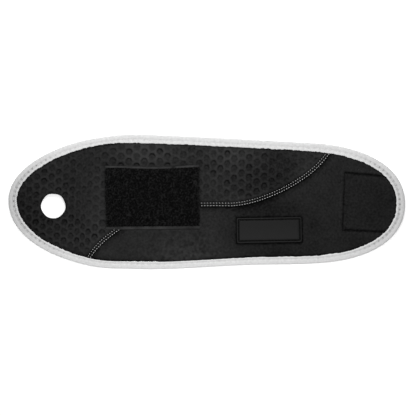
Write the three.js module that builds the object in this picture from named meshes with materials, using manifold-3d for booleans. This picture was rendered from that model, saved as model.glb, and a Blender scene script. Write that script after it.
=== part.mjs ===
// Wrist support, opened out flat: a neoprene wrap with a thumb hole at one end and hook tape at the other.
// Worn, the thumb goes through the hole, the wrap winds round the wrist, and the hook tape on its
// inner face closes on the loop patch on its outer face.
// Millimetres, +Z up. The wrap lies on its inner face. The origin is the middle of its outline, on that
// surface. +X runs from the thumb hole to the hook tape, and +Y across the wrap.
import * as THREE from "three";
import { mergeGeometries, mergeVertices } from "three/addons/utils/BufferGeometryUtils.js";
import Module from "manifold-3d";

const wasm = await Module();
wasm.setup();

// Driving dimensions. A height is measured from the surface that the wrap lies on.
const CLEARANCE = 0.3; // between pieces that are sewn together
const OVERRUN = 5; // how far a cutting block reaches past what it cuts
const TAPE_WIDTH = 50.8; // hook and loop tape, two inches wide

const PANEL = { plainTop: 3.4, honeycombTop: 4.0, shoulder: 0.9 };
const BINDING = { width: 6.4, height: 3.8, tape: 0.7, fold: 1.3, round: 1.2 };
const SQUEEZED_EDGE = {
  bottom: BINDING.tape + CLEARANCE,
  top: BINDING.height - BINDING.tape - CLEARANCE,
};
const THUMB_HOLE = { x: -122.9, y: -3.3, radius: 10, sides: 32 };
const LAP = { width: 7, level: 1.7 };
const CELL = { row: 7.4, sides: 6, radius: 2.7, floor: 1.7, depth: 0.5, margin: 0.6 };
const HONEYCOMB_ROWS = 12; // cells that a column has on each side of the one in its table
const STITCHED_EDGE = 4.6; // bare strip beside the seam that its two rows of stitches run in
const LOOP_PATCH = { x: -43.4, y: 3.4, turn: 0.6, length: 75.4, tape: 0.6, height: 2.2, selvedge: 2.4 };
const HOOK_PATCH = { x: 132.9, y: -1.2, turn: -3.2, length: 52, height: 1.4 };
const HOOK_STITCH = { inset: 2.7, width: 1.4, depth: 0.6 };
const LABEL = { x: 50, y: -22.6, turn: 1, length: 52, width: 20, base: 1, corner: 1.2 };
const LABEL_RIM = { width: 1.1, height: 1.6 };
const LABEL_FIELD = { inset: 2.3, height: 1.9 };
const TAPE_CORNER = 0.6;
const EDGE_ROUND = 0.3;

// Steps that curves are drawn with
const CURVE_STEPS = 11; // between two stations
const CORNER_STEPS = 2;
const ROUND_STEPS = 2;

// The bound edge, clockwise from the thumb end. heading is the way the edge runs, in degrees, and back
// and ahead are how far the curve holds to that heading on each side of the station.
const OUTLINE = [
  { x: -158.8, y: 0.4, heading: 92, back: 26.5, ahead: 28.9 },
  { x: -91.1, y: 50.6, heading: 9, back: 24.9, ahead: 21 },
  { x: -45.7, y: 53.7, heading: -2, back: 20, ahead: 39 },
  { x: 85.0, y: 47.1, heading: -3, back: 39, ahead: 34 },
  { x: 158.8, y: -0.8, heading: -89, back: 33, ahead: 30.5 },
  { x: 94.9, y: -48.7, heading: 185, back: 34, ahead: 20 },
  { x: 33.9, y: -50.6, heading: 182, back: 20, ahead: 30 },
  { x: -56.1, y: -53.8, heading: 178, back: 28, ahead: 18 },
  { x: -99.6, y: -49.9, heading: 166, back: 18, ahead: 31.2 },
];

// The honeycomb panel's cut edge, from the lower edge of the wrap to the upper one.
const SEAM = [
  { x: -104.9, y: -67.6, heading: 61, back: 0, ahead: 8 },
  { x: -92.8, y: -45.7, heading: 61, back: 8, ahead: 9 },
  { x: -69.3, y: -22.7, heading: 34, back: 14, ahead: 34 },
  { x: 17.4, y: -3.9, heading: -1, back: 33, ahead: 24 },
  { x: 100.0, y: 40.8, heading: 61, back: 29, ahead: 8 },
  { x: 112.1, y: 62.7, heading: 61, back: 8, ahead: 0 },
];

// Columns of honeycomb cells. The cloth is stretched unevenly, so they are not all alike, and the ones between
// two of these are spaced evenly. number counts the columns. x is where a column crosses the X axis, and lean is
// how far it goes to the right for each millimetre up. y is the height of one cell of an even column, and row is
// how far apart a column's cells are.
const HONEYCOMB = [
  { number: -5, x: -153.6, lean: 0.02, y: 34.6, row: 7.3 },
  { number: 2, x: -113.3, lean: 0.038, y: 34.6, row: 7.3 },
  { number: 4, x: -102.6, lean: 0.04, y: 35.4, row: 7.4 },
  { number: 6, x: -94.3, lean: 0.04, y: 37.0, row: 7.65 },
  { number: 8, x: -82.9, lean: 0.04, y: 36.9, row: 7.7 },
  { number: 11, x: -63.2, lean: 0.03, y: 36.1, row: 7.6 },
  { number: 16, x: -32.2, lean: 0.02, y: 36.2, row: 7.6 },
  { number: 18, x: -19.4, lean: 0.015, y: 37.8, row: 7.7 },
  { number: 20, x: -6.0, lean: 0.015, y: 38.6, row: 7.75 },
  { number: 23, x: 10.5, lean: 0.015, y: 38.2, row: 7.85 },
  { number: 25, x: 21.4, lean: 0.015, y: 38.4, row: 7.85 },
  { number: 29, x: 45.6, lean: 0.015, y: 39.9, row: 7.85 },
  { number: 38, x: 100.0, lean: 0.015, y: 40.2, row: 7.8 },
];

const MATERIALS = {
  honeycomb: new THREE.MeshStandardMaterial({ color: 0x29292a, roughness: 0.9, metalness: 0 }),
  plain: new THREE.MeshStandardMaterial({ color: 0x242425, roughness: 0.95, metalness: 0 }),
  binding: new THREE.MeshStandardMaterial({ color: 0xd8d8d8, roughness: 0.9, metalness: 0 }),
  loop: new THREE.MeshStandardMaterial({ color: 0x101010, roughness: 1, metalness: 0 }),
  hook: new THREE.MeshStandardMaterial({ color: 0x161617, roughness: 0.7, metalness: 0 }),
  label: new THREE.MeshStandardMaterial({ color: 0x262627, roughness: 0.5, metalness: 0 }),
};

// Curves and outlines in the plane of the wrap

// A smooth line through a table of stations, as points.
function line(stations, closed) {
  const path = new THREE.CurvePath();
  const reach = ({ x, y, heading }, distance) => {
    const angle = THREE.MathUtils.degToRad(heading);
    return new THREE.Vector2(x + distance * Math.cos(angle), y + distance * Math.sin(angle));
  };
  const spans = closed ? stations.length : stations.length - 1;
  for (let i = 0; i < spans; i++) {
    const from = stations[i];
    const to = stations[(i + 1) % stations.length];
    const leaving = reach(from, from.ahead);
    const arriving = reach(to, -to.back);
    path.add(new THREE.CubicBezierCurve(reach(from, 0), leaving, arriving, reach(to, 0)));
  }
  const points = path.getPoints(CURVE_STEPS);
  return closed ? points.slice(0, -1) : points;
}

// The same line moved to its right: inwards for the outline, and into the plain panel for the seam.
function moved(points, distance, closed) {
  const last = points.length - 1;
  return points.map((point, i) => {
    const before = i > 0 ? points[i - 1] : points[closed ? last : 0];
    const after = i < last ? points[i + 1] : points[closed ? 0 : last];
    const along = after.clone().sub(before).normalize();
    return new THREE.Vector2(point.x + along.y * distance, point.y - along.x * distance);
  });
}

const outline = line(OUTLINE, true);
const seam = line(SEAM, false);
const inside = (distance) => moved(outline, distance, true);

// The plane to the lower right of the seam, with its edge moved towards the plain panel.
function plainSide(distance) {
  const right = outline.reduce((most, { x }) => Math.max(most, x), 0) + OVERRUN;
  const low = seam[0].y - OVERRUN;
  const edge = moved(seam, distance, false);
  return [...edge, new THREE.Vector2(right, edge.at(-1).y), new THREE.Vector2(right, low)];
}

function rectangle(length, width, corner) {
  const path = new THREE.Path();
  const x = length / 2 - corner;
  const y = width / 2 - corner;
  const quarter = Math.PI / 2;
  const centres = [
    [x, y],
    [-x, y],
    [-x, -y],
    [x, -y],
  ];
  centres.forEach(([cx, cy], i) => path.absarc(cx, cy, corner, i * quarter, (i + 1) * quarter));
  return path.getPoints(CORNER_STEPS);
}

function circle(x, y, radius, sides) {
  const turns = Array.from({ length: sides }, (_, i) => (2 * Math.PI * i) / sides);
  return turns.map((turn) => new THREE.Vector2(x + radius * Math.cos(turn), y + radius * Math.sin(turn)));
}

// True where a point lies within an outline: a ray from it crosses the outline an odd number of times.
function holds(points, { x, y }) {
  let within = false;
  points.forEach((a, i) => {
    const b = points[(i + 1) % points.length];
    const crosses = a.y > y !== b.y > y && x < a.x + ((b.x - a.x) * (y - a.y)) / (b.y - a.y);
    within = crosses ? !within : within;
  });
  return within;
}

// Solids

// A plate of an outline between two heights. round is the radius of its upper and lower edges.
function plate(points, bottom, top, round = 0) {
  const geometry = new THREE.ExtrudeGeometry(new THREE.Shape(points), {
    depth: top - bottom - 2 * round,
    bevelEnabled: round > 0,
    bevelThickness: round,
    bevelSize: round,
    bevelOffset: -round,
    bevelSegments: ROUND_STEPS,
  });
  return geometry.translate(0, 0, bottom + round);
}

function solid(geometry) {
  const bare = geometry.clone();
  bare.deleteAttribute("normal");
  bare.deleteAttribute("uv");
  const merged = mergeVertices(bare);
  const vertProperties = merged.attributes.position.array;
  return new wasm.Manifold(new wasm.Mesh({ numProp: 3, vertProperties, triVerts: merged.index.array }));
}

function mesh(name, made, material) {
  const { vertProperties, triVerts } = made.getMesh();
  const geometry = new THREE.BufferGeometry();
  geometry.setAttribute("position", new THREE.BufferAttribute(vertProperties, 3));
  geometry.setIndex(new THREE.BufferAttribute(triVerts, 1));
  geometry.computeVertexNormals();
  const piece = new THREE.Mesh(geometry, material);
  piece.name = name;
  return piece;
}

// The uncut blank of one panel: its full thickness, and the thin edge that the binding squeezes.
function blank(top) {
  const body = solid(plate(inside(BINDING.width + CLEARANCE), 0, top, PANEL.shoulder));
  const edge = inside(BINDING.fold + CLEARANCE);
  return body.add(solid(plate(edge, SQUEEZED_EDGE.bottom, SQUEEZED_EDGE.top)));
}

function thumbHole() {
  const height = PANEL.honeycombTop + 2 * OVERRUN;
  const { x, y, radius, sides } = THUMB_HOLE;
  return new THREE.CylinderGeometry(radius, radius, height, sides).rotateX(Math.PI / 2).translate(x, y, 0);
}

// One column of the honeycomb, worked out from the two nearest in its table. wide and tall are how much its
// cells are stretched from regular ones.
function honeycombColumn(number) {
  const after = HONEYCOMB.findIndex((column, i) => i > 0 && column.number >= number);
  const from = HONEYCOMB[after - 1];
  const to = HONEYCOMB[after];
  const apart = (to.x - from.x) / (to.number - from.number);
  const share = (number - from.number) / (to.number - from.number);
  const between = (key) => THREE.MathUtils.lerp(from[key], to[key], share);
  const row = between("row");
  const wide = apart / (CELL.row * Math.cos(Math.PI / CELL.sides));
  return { x: between("x"), lean: between("lean"), y: between("y"), row, wide, tall: row / CELL.row };
}

// Hexagonal cells pressed into the honeycomb panel wherever a whole one shows. Every other column is
// half a row higher.
function cells() {
  const { sides, radius, floor, depth, margin } = CELL;
  const mouth = 2 * radius - floor; // the cutter tapers, and has this radius one depth above the face
  const cell = new THREE.CylinderGeometry(mouth, floor, 2 * depth, sides, 1, false, Math.PI / 2);
  cell.rotateX(Math.PI / 2);
  const corners = circle(0, 0, radius + margin, sides);
  const field = inside(BINDING.width + CLEARANCE + PANEL.shoulder);
  const patchMiddle = new THREE.Vector2(LOOP_PATCH.x, LOOP_PATCH.y);
  const bare = [
    plainSide(-STITCHED_EDGE),
    rectangle(LOOP_PATCH.length, TAPE_WIDTH, TAPE_CORNER).map((corner) => corner.add(patchMiddle)),
    circle(THUMB_HOLE.x, THUMB_HOLE.y, THUMB_HOLE.radius, THUMB_HOLE.sides),
  ];
  const shows = (point) => holds(field, point) && !bare.some((outlined) => holds(outlined, point));
  const made = [];
  for (let number = HONEYCOMB[0].number; number <= HONEYCOMB.at(-1).number; number++) {
    const { x, lean, y, row, wide, tall } = honeycombColumn(number);
    const stretch = new THREE.Vector2(wide, tall);
    const lift = number % 2 === 0 ? 0 : row / 2;
    for (let count = -HONEYCOMB_ROWS; count <= HONEYCOMB_ROWS; count++) {
      const up = y + lift + count * row;
      const centre = new THREE.Vector2(x + lean * up, up);
      if (corners.every((corner) => shows(corner.clone().multiply(stretch).add(centre))))
        made.push(cell.clone().scale(wide, tall, 1).translate(centre.x, centre.y, PANEL.honeycombTop));
    }
  }
  return mergeGeometries(made);
}

function honeycombPanel() {
  const lapRoom = plate(plainSide(-LAP.width - CLEARANCE), -OVERRUN, LAP.level + CLEARANCE);
  const cut = blank(PANEL.honeycombTop)
    .subtract(solid(plate(plainSide(0), -OVERRUN, PANEL.honeycombTop + OVERRUN)))
    .subtract(solid(lapRoom))
    .subtract(solid(thumbHole()))
    .subtract(solid(cells()));
  return mesh("honeycomb_panel", cut, MATERIALS.honeycomb);
}

// Places what is drawn flat about the hook tape's middle.
function atHookPatch(geometry) {
  const turn = THREE.MathUtils.degToRad(HOOK_PATCH.turn);
  return geometry.rotateZ(turn).translate(HOOK_PATCH.x, HOOK_PATCH.y, 0);
}

// The groove that the hook tape's stitches pull into the outer face.
function hookStitchGroove() {
  const row = (inset) => rectangle(HOOK_PATCH.length - 2 * inset, TAPE_WIDTH - 2 * inset, TAPE_CORNER);
  const floor = PANEL.plainTop - HOOK_STITCH.depth;
  const half = HOOK_STITCH.width / 2;
  const outer = plate(row(HOOK_STITCH.inset - half), floor, PANEL.plainTop + OVERRUN);
  const inner = plate(row(HOOK_STITCH.inset + half), floor - OVERRUN, PANEL.plainTop + 2 * OVERRUN);
  return solid(atHookPatch(outer)).subtract(solid(atHookPatch(inner)));
}

function plainPanel() {
  const face = solid(plate(plainSide(CLEARANCE), -OVERRUN, PANEL.plainTop + OVERRUN));
  const lap = solid(plate(plainSide(-LAP.width), -OVERRUN, LAP.level));
  const room = 2 * CLEARANCE;
  const hookSeat = plate(
    rectangle(HOOK_PATCH.length + room, TAPE_WIDTH + room, TAPE_CORNER),
    -OVERRUN,
    HOOK_PATCH.height + CLEARANCE,
  );
  const unbound = plate(inside(BINDING.width), -OVERRUN, OVERRUN);
  const cut = blank(PANEL.plainTop)
    .intersect(face.add(lap))
    .subtract(solid(atHookPatch(hookSeat)).intersect(solid(unbound)))
    .subtract(hookStitchGroove());
  return mesh("plain_panel", cut, MATERIALS.plain);
}

// Tape folded round the edge of both panels: a U on its side, open inwards.
function edgeBinding() {
  const whole = solid(plate(outline, 0, BINDING.height, BINDING.round));
  const middle = solid(plate(inside(BINDING.width), -OVERRUN, BINDING.height + OVERRUN));
  const slot = solid(plate(inside(BINDING.fold), BINDING.tape, BINDING.height - BINDING.tape));
  return mesh("edge_binding", whole.subtract(middle).subtract(slot), MATERIALS.binding);
}

// Soft loop tape on the outer face: a thin woven selvedge along each long edge, and the pile between them.
function loopPatch() {
  const tape = plate(rectangle(LOOP_PATCH.length, TAPE_WIDTH, TAPE_CORNER), 0, LOOP_PATCH.tape);
  const pileWidth = TAPE_WIDTH - 2 * LOOP_PATCH.selvedge;
  const pileOutline = rectangle(LOOP_PATCH.length, pileWidth, TAPE_CORNER);
  const pile = plate(pileOutline, 0, LOOP_PATCH.height, EDGE_ROUND);
  const patch = mesh("loop_patch", solid(tape).add(solid(pile)), MATERIALS.loop);
  patch.position.set(LOOP_PATCH.x, LOOP_PATCH.y, PANEL.honeycombTop + CLEARANCE);
  patch.rotation.z = THREE.MathUtils.degToRad(LOOP_PATCH.turn);
  return patch;
}

// Hook tape on the inner face, its end cut to the curve of the binding.
function hookPatch() {
  const tape = plate(rectangle(HOOK_PATCH.length, TAPE_WIDTH, TAPE_CORNER), 0, HOOK_PATCH.height);
  const bound = plate(inside(BINDING.width + CLEARANCE), -OVERRUN, OVERRUN);
  return mesh("hook_patch", solid(atHookPatch(tape)).intersect(solid(bound)), MATERIALS.hook);
}

// Moulded label with a rim, a groove for its stitches and a raised bare field.
function label() {
  const ring = (inset) => rectangle(LABEL.length - 2 * inset, LABEL.width - 2 * inset, LABEL.corner);
  const rim = solid(plate(ring(0), 0, LABEL_RIM.height, EDGE_ROUND));
  const groove = solid(plate(ring(LABEL_RIM.width), LABEL.base, LABEL_RIM.height + OVERRUN));
  const field = solid(plate(ring(LABEL_FIELD.inset), EDGE_ROUND, LABEL_FIELD.height, EDGE_ROUND));
  const piece = mesh("label", rim.subtract(groove).add(field), MATERIALS.label);
  piece.position.set(LABEL.x, LABEL.y, PANEL.plainTop + CLEARANCE);
  piece.rotation.z = THREE.MathUtils.degToRad(LABEL.turn);
  return piece;
}

const wristSupport = new THREE.Group();
wristSupport.name = "wrist_support";
wristSupport.add(honeycombPanel(), plainPanel(), edgeBinding(), loopPatch(), hookPatch(), label());

export default wristSupport;
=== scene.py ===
# %% [markdown]
# # A wrist support, opened out flat
# The object is a soft wrap: two neoprene panels joined by a curved seam, a pale tape sewn round the edge,
# a thumb hole, a patch of loop tape, a moulded label, and a piece of hook tape underneath. Every piece is
# a thin layer, so it could be sculpted by hand, but a few curves and height formulas give the same layers
# exactly. The lesson works in millimetres and changes to Blender's metres when a mesh is made.

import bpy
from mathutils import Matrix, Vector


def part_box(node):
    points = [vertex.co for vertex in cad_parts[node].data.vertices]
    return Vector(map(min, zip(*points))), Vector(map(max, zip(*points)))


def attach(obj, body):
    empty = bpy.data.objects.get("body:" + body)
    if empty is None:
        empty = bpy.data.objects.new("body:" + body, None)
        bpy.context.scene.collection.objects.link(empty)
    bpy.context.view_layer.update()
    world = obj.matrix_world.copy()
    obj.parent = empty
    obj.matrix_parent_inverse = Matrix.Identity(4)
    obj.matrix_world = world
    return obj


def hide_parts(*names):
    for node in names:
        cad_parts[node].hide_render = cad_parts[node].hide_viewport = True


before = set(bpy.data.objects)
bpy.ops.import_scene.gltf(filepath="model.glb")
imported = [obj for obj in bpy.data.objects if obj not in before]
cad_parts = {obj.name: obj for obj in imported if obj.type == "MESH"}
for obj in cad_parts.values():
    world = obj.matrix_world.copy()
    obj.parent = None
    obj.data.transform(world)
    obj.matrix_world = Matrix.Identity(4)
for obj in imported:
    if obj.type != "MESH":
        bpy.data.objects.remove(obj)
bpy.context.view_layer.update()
print("frame nodes:", ", ".join(sorted(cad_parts)))

# %% Libraries and units
import math
from collections import namedtuple

import bmesh
import bpy
import numpy as np
from mathutils import Vector
from mathutils.geometry import delaunay_2d_cdt
from mathutils.kdtree import KDTree

MM = 0.001  # metres in a millimetre
SEED = 5801


def top_of(node):
    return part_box(node)[1].z / MM


def bottom_of(node):
    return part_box(node)[0].z / MM


print("tops:", {node: round(top_of(node), 2) for node in sorted(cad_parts)})

# %% [markdown]
# ## Camera
# The wrap is seen from straight above. An orthographic camera would do for that one view, but a long lens
# far away looks nearly the same and also gives natural pictures from the side. The lens follows from the
# width of the view on the table, and the camera stands over the middle of that view.

# %% Camera
VIEW_WIDTH = 332.8
VIEW_MIDDLE = (1.0, -4.9)
CAMERA_HEIGHT = 1500

camera_data = bpy.data.cameras.new("camera")
camera_data.lens = camera_data.sensor_width * CAMERA_HEIGHT / VIEW_WIDTH
camera_data.clip_end = 20
camera = bpy.data.objects.new("camera", camera_data)
camera.location = (VIEW_MIDDLE[0] * MM, VIEW_MIDDLE[1] * MM, (CAMERA_HEIGHT + top_of("plain_panel")) * MM)
bpy.context.scene.collection.objects.link(camera)
bpy.context.scene.camera = camera
print("lens:", round(camera_data.lens, 1), "mm")

# %% [markdown]
# ## The curves
# A pattern cutter draws the wrap with two curves: the bound edge and the seam. Each is a short table of
# stations. heading is the way the curve runs there, in degrees, and back and ahead are how far it holds
# to that heading, which makes the span between two stations a Bezier curve. All pieces are drawn from
# these two curves at some distance to their right, so neighbours always meet.

# %% Stations of the edge and the seam
Station = namedtuple("Station", "x y heading back ahead")

EDGE = [
    Station(x=-158.8, y=0.4, heading=92, back=26.5, ahead=28.9),
    Station(x=-91.1, y=50.6, heading=9, back=24.9, ahead=21),
    Station(x=-45.7, y=53.7, heading=-2, back=20, ahead=39),
    Station(x=85.0, y=47.1, heading=-3, back=39, ahead=34),
    Station(x=158.8, y=-0.8, heading=-89, back=33, ahead=30.5),
    Station(x=94.9, y=-48.7, heading=185, back=34, ahead=20),
    Station(x=33.9, y=-50.6, heading=182, back=20, ahead=30),
    Station(x=-56.1, y=-53.8, heading=178, back=28, ahead=18),
    Station(x=-99.6, y=-49.9, heading=166, back=18, ahead=31.2),
]
SEAM = [
    Station(x=-104.9, y=-67.6, heading=61, back=0, ahead=8),
    Station(x=-92.8, y=-45.7, heading=61, back=8, ahead=9),
    Station(x=-69.3, y=-22.7, heading=34, back=14, ahead=34),
    Station(x=17.4, y=-3.9, heading=-1, back=33, ahead=24),
    Station(x=100.0, y=40.8, heading=61, back=29, ahead=8),
    Station(x=112.1, y=62.7, heading=61, back=8, ahead=0),
]
SPAN_STEPS = 200  # steps that a span is drawn with before it is divided evenly
CURVE_STEP = 0.5  # spacing of the points on a finished curve


def even(line, spacing, closed):
    """The same line as evenly spaced points."""
    if closed:
        line = np.concatenate([line, line[:1]])
    run = np.concatenate([[0], np.cumsum(np.hypot(*np.diff(line, axis=0).T))])
    steps = max(2, round(run[-1] / spacing))
    stops = np.linspace(0, run[-1], steps + (not closed), endpoint=not closed)
    return np.stack([np.interp(stops, run, line[:, axis]) for axis in (0, 1)], axis=1)


def through(stations, closed, spacing):
    """A smooth line through a table of stations."""
    following = stations[1:] + stations[:1] if closed else stations[1:]
    t = np.linspace(0, 1, SPAN_STEPS)[:, None]
    spans = []
    for a, b in zip(stations, following):
        leave, arrive = math.radians(a.heading), math.radians(b.heading)
        p0 = np.array([a.x, a.y])
        p3 = np.array([b.x, b.y])
        p1 = p0 + a.ahead * np.array([math.cos(leave), math.sin(leave)])
        p2 = p3 - b.back * np.array([math.cos(arrive), math.sin(arrive)])
        spans.append(p0 * (1 - t) ** 3 + 3 * p1 * t * (1 - t) ** 2 + 3 * p2 * t**2 * (1 - t) + p3 * t**3)
    return even(np.concatenate([span[:-1] for span in spans] + [spans[-1][-1:]]), spacing, closed)


def rightward(line, closed):
    """The unit vector to the right of a line at each point."""
    ahead = np.roll(line, -1, 0) - np.roll(line, 1, 0) if closed else np.gradient(line, axis=0)
    ahead /= np.hypot(*ahead.T)[:, None]
    return np.stack([ahead[:, 1], -ahead[:, 0]], axis=1)


def moved(line, distance, closed):
    return line + rightward(line, closed) * distance


edge = through(EDGE, closed=True, spacing=CURVE_STEP)
seam = through(SEAM, closed=False, spacing=CURVE_STEP)
edge_length = CURVE_STEP * len(edge)
print("bound edge:", round(edge_length), "mm round")

# %% [markdown]
# ## Measuring from the curves
# Most of the surface depends on how far a point lies from something: the edge, the seam, the hole, a
# patch. A survey works these distances out once for many points with NumPy, and every height and tint
# reads from it. Vertex groups painted by hand could say the same, but they could not be changed by a
# number.

# %% Survey of points
Place = namedtuple("Place", "x y turn length width")
Hole = namedtuple("Hole", "x y radius")
Survey = namedtuple("Survey", "points edge seam hole patch label hook")

TAPE_WIDTH = 50.8
THUMB_HOLE = Hole(x=-122.9, y=-3.3, radius=10)
LOOP_PATCH = Place(x=-43.4, y=3.4, turn=0.6, length=75.4, width=TAPE_WIDTH)
HOOK_PATCH = Place(x=132.9, y=-1.2, turn=-3.2, length=52, width=TAPE_WIDTH)
LABEL = Place(x=50, y=-22.6, turn=1, length=52, width=20)


def beside(points, line, closed):
    """How far each point lies to the right of a line, and which of the line's points is nearest."""
    tree = KDTree(len(line))
    for index, (x, y) in enumerate(line):
        tree.insert((x, y, 0), index)
    tree.balance()
    nearest = np.array([tree.find((x, y, 0))[1] for x, y in points])
    return ((points - line[nearest]) * rightward(line, closed)[nearest]).sum(1), nearest


def turned(points, degrees):
    angle = math.radians(degrees)
    c, s = math.cos(angle), math.sin(angle)
    return points @ np.array([[c, s], [-s, c]])


def from_place(points, place):
    """Points drawn about a patch's middle, set where the patch lies."""
    return turned(points, place.turn) + np.array([place.x, place.y])


def to_place(points, place):
    return turned(points - np.array([place.x, place.y]), -place.turn)


def outside(points, place):
    """How far each point lies outside a patch's rectangle. It is negative inside."""
    over = np.abs(to_place(points, place)) - np.array([place.length, place.width]) / 2
    return np.hypot(*np.maximum(over, 0).T) + np.minimum(over.max(1), 0)


def survey(points):
    from_hole = np.hypot(points[:, 0] - THUMB_HOLE.x, points[:, 1] - THUMB_HOLE.y) - THUMB_HOLE.radius
    return Survey(
        points=points,
        edge=beside(points, edge, True)[0],
        seam=beside(points, seam, False)[0],
        hole=from_hole,
        patch=outside(points, LOOP_PATCH),
        label=outside(points, LABEL),
        hook=outside(points, HOOK_PATCH),
    )


def ramp(value, start, end):
    """0 before start, 1 after end, and a smooth rise between them."""
    t = np.clip((value - start) / (end - start), 0, 1)
    return t * t * (3 - 2 * t)


def bump(value, width):
    """1 at 0, falling smoothly to nothing about two widths away."""
    return np.exp(-((value / width) ** 2))


NOISE_TABLE = (97, 89)  # rows and columns of random values, after which they repeat


def noise(points, size, seed):
    """Smooth random values from -1 to 1, in patches about size across."""
    table = np.random.default_rng([SEED, seed]).uniform(-1, 1, NOISE_TABLE)
    cell = np.floor(points / size).astype(int)
    share = points / size - cell
    share = share * share * (3 - 2 * share)

    def at(right, up):
        return table[(cell[:, 0] + right) % NOISE_TABLE[0], (cell[:, 1] + up) % NOISE_TABLE[1]]

    low = at(0, 0) + (at(1, 0) - at(0, 0)) * share[:, 0]
    high = at(0, 1) + (at(1, 1) - at(0, 1)) * share[:, 0]
    return low + (high - low) * share[:, 1]


Blotch = namedtuple("Blotch", "x y across up amount")


def blotches(points, table):
    """The sum of some soft blotches, each with its own place, reach and amount."""
    amount = np.zeros(len(points))
    for blotch in table:
        x, y = (points - [blotch.x, blotch.y]).T
        amount += blotch.amount * np.exp(-((x / blotch.across) ** 2) - (y / blotch.up) ** 2)
    return amount


middle = survey(np.zeros((1, 2)))
print(f"middle of the wrap: {middle.edge[0]:.1f} mm from the edge, {middle.seam[0]:.1f} from the seam")

# %% [markdown]
# ## Shared finishes
# Cloth, tape and thread share a few effects, so each effect is a shader node group: the loops of a knit,
# soft mottling, specks of lint, the ribs of a woven tape and the ply of a thread. A group could also be
# an image texture, but nodes stay sharp at any distance. Groups only put out numbers. The shader stays in
# the material.

# %% Node helpers
FLOAT = "NodeSocketFloat"
VECTOR = "NodeSocketVector"


def add(tree, kind, values=(), **settings):
    """One node of a tree. values gives its inputs, by name or number, a number or another node's output."""
    made = tree.nodes.new("ShaderNode" + kind)
    for name, setting in settings.items():
        setattr(made, name, setting)
    for socket, value in dict(values).items():
        if isinstance(value, bpy.types.NodeSocket):
            tree.links.new(value, made.inputs[socket])
        else:
            made.inputs[socket].default_value = value
    return made


def maths(tree, operation, *values):
    return add(tree, "Math", enumerate(values), operation=operation).outputs[0]


def total(tree, first, *others):
    for other in others:
        first = maths(tree, "ADD", first, other)
    return first


def humps(tree, value, waves=1):
    """A row of round humps, waves of them to each unit of the value."""
    return maths(tree, "ABSOLUTE", maths(tree, "SINE", maths(tree, "MULTIPLY", value, waves * math.pi)))


def effect(tree, group, **inputs):
    """What a shared group puts out for some inputs."""
    return add(tree, "Group", inputs, node_tree=group).outputs[0]


def new_group(name, inputs, outputs):
    """An empty group, with its input sockets to read from and its output sockets to link to."""
    tree = bpy.data.node_groups.new(name, "ShaderNodeTree")
    for socket, kind in inputs.items():
        tree.interface.new_socket(socket, in_out="INPUT", socket_type=kind)
    for socket in outputs:
        tree.interface.new_socket(socket, in_out="OUTPUT", socket_type=FLOAT)
    return tree, tree.nodes.new("NodeGroupInput").outputs, tree.nodes.new("NodeGroupOutput").inputs


print("node helpers ready")

# %% Knit: rows of small V-shaped loops
knit, given, put = new_group("Knit", {"Vector": VECTOR, "Wale": FLOAT, "Course": FLOAT}, ["Height"])
xyz = add(knit, "SeparateXYZ", {0: given["Vector"]}).outputs
across = maths(knit, "DIVIDE", xyz["X"], given["Wale"])
upward = maths(knit, "DIVIDE", xyz["Y"], given["Course"])
leg = maths(knit, "PINGPONG", across, 0.5)
slanted = maths(knit, "ADD", upward, leg)
loops = maths(knit, "MULTIPLY", humps(knit, across, waves=2), humps(knit, slanted))
knit.links.new(loops, put["Height"])
print("made group", knit.name)

# %% Mottle: soft patches of lighter and darker cloth
mottle, given, put = new_group("Mottle", {"Vector": VECTOR, "Size": FLOAT}, ["Value"])
fine = maths(mottle, "DIVIDE", 1.0, given["Size"])
clouds = add(mottle, "TexNoise", {"Vector": given["Vector"], "Scale": fine, "Detail": 4.0, "Roughness": 0.62})
centred = maths(mottle, "SUBTRACT", clouds.outputs["Fac"], 0.5)
mottle.links.new(maths(mottle, "MULTIPLY", centred, 2.0), put["Value"])
print("made group", mottle.name)

# %% Lint: a few pale specks
lint, given, put = new_group("Lint", {"Vector": VECTOR, "Size": FLOAT, "Share": FLOAT}, ["Mask"])
fine = maths(lint, "DIVIDE", 1.0, given["Size"])
cells = add(lint, "TexVoronoi", {"Vector": given["Vector"], "Scale": fine})
speck = maths(lint, "LESS_THAN", cells.outputs["Distance"], 0.16)
chance = add(lint, "SeparateColor", {0: cells.outputs["Color"]}).outputs[0]
chosen = maths(lint, "LESS_THAN", chance, given["Share"])
lint.links.new(maths(lint, "MULTIPLY", speck, chosen), put["Mask"])
print("made group", lint.name)

# %% Ribs: the cords of a woven or knitted tape
ribs, given, put = new_group("Ribs", {"Along": FLOAT, "Across": FLOAT, "Pitch": FLOAT}, ["Height"])
row = maths(ribs, "DIVIDE", given["Across"], given["Pitch"])
step = maths(ribs, "DIVIDE", given["Along"], given["Pitch"])
shifted = maths(ribs, "ADD", step, maths(ribs, "MULTIPLY", maths(ribs, "FLOOR", row), 0.5))
cords = maths(ribs, "MULTIPLY", humps(ribs, shifted), maths(ribs, "SQRT", humps(ribs, row)))
ribs.links.new(cords, put["Height"])
print("made group", ribs.name)

# %% Ply: the slanting strands of a sewing thread
ply, given, put = new_group("Ply", {"Along": FLOAT, "Around": FLOAT, "Pitch": FLOAT}, ["Height"])
climb = maths(ply, "DIVIDE", given["Along"], given["Pitch"])
strand = maths(ply, "ADD", maths(ply, "MULTIPLY", given["Around"], 3.0), climb)
ply.links.new(humps(ply, strand), put["Height"])
print("made group", ply.name)
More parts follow.
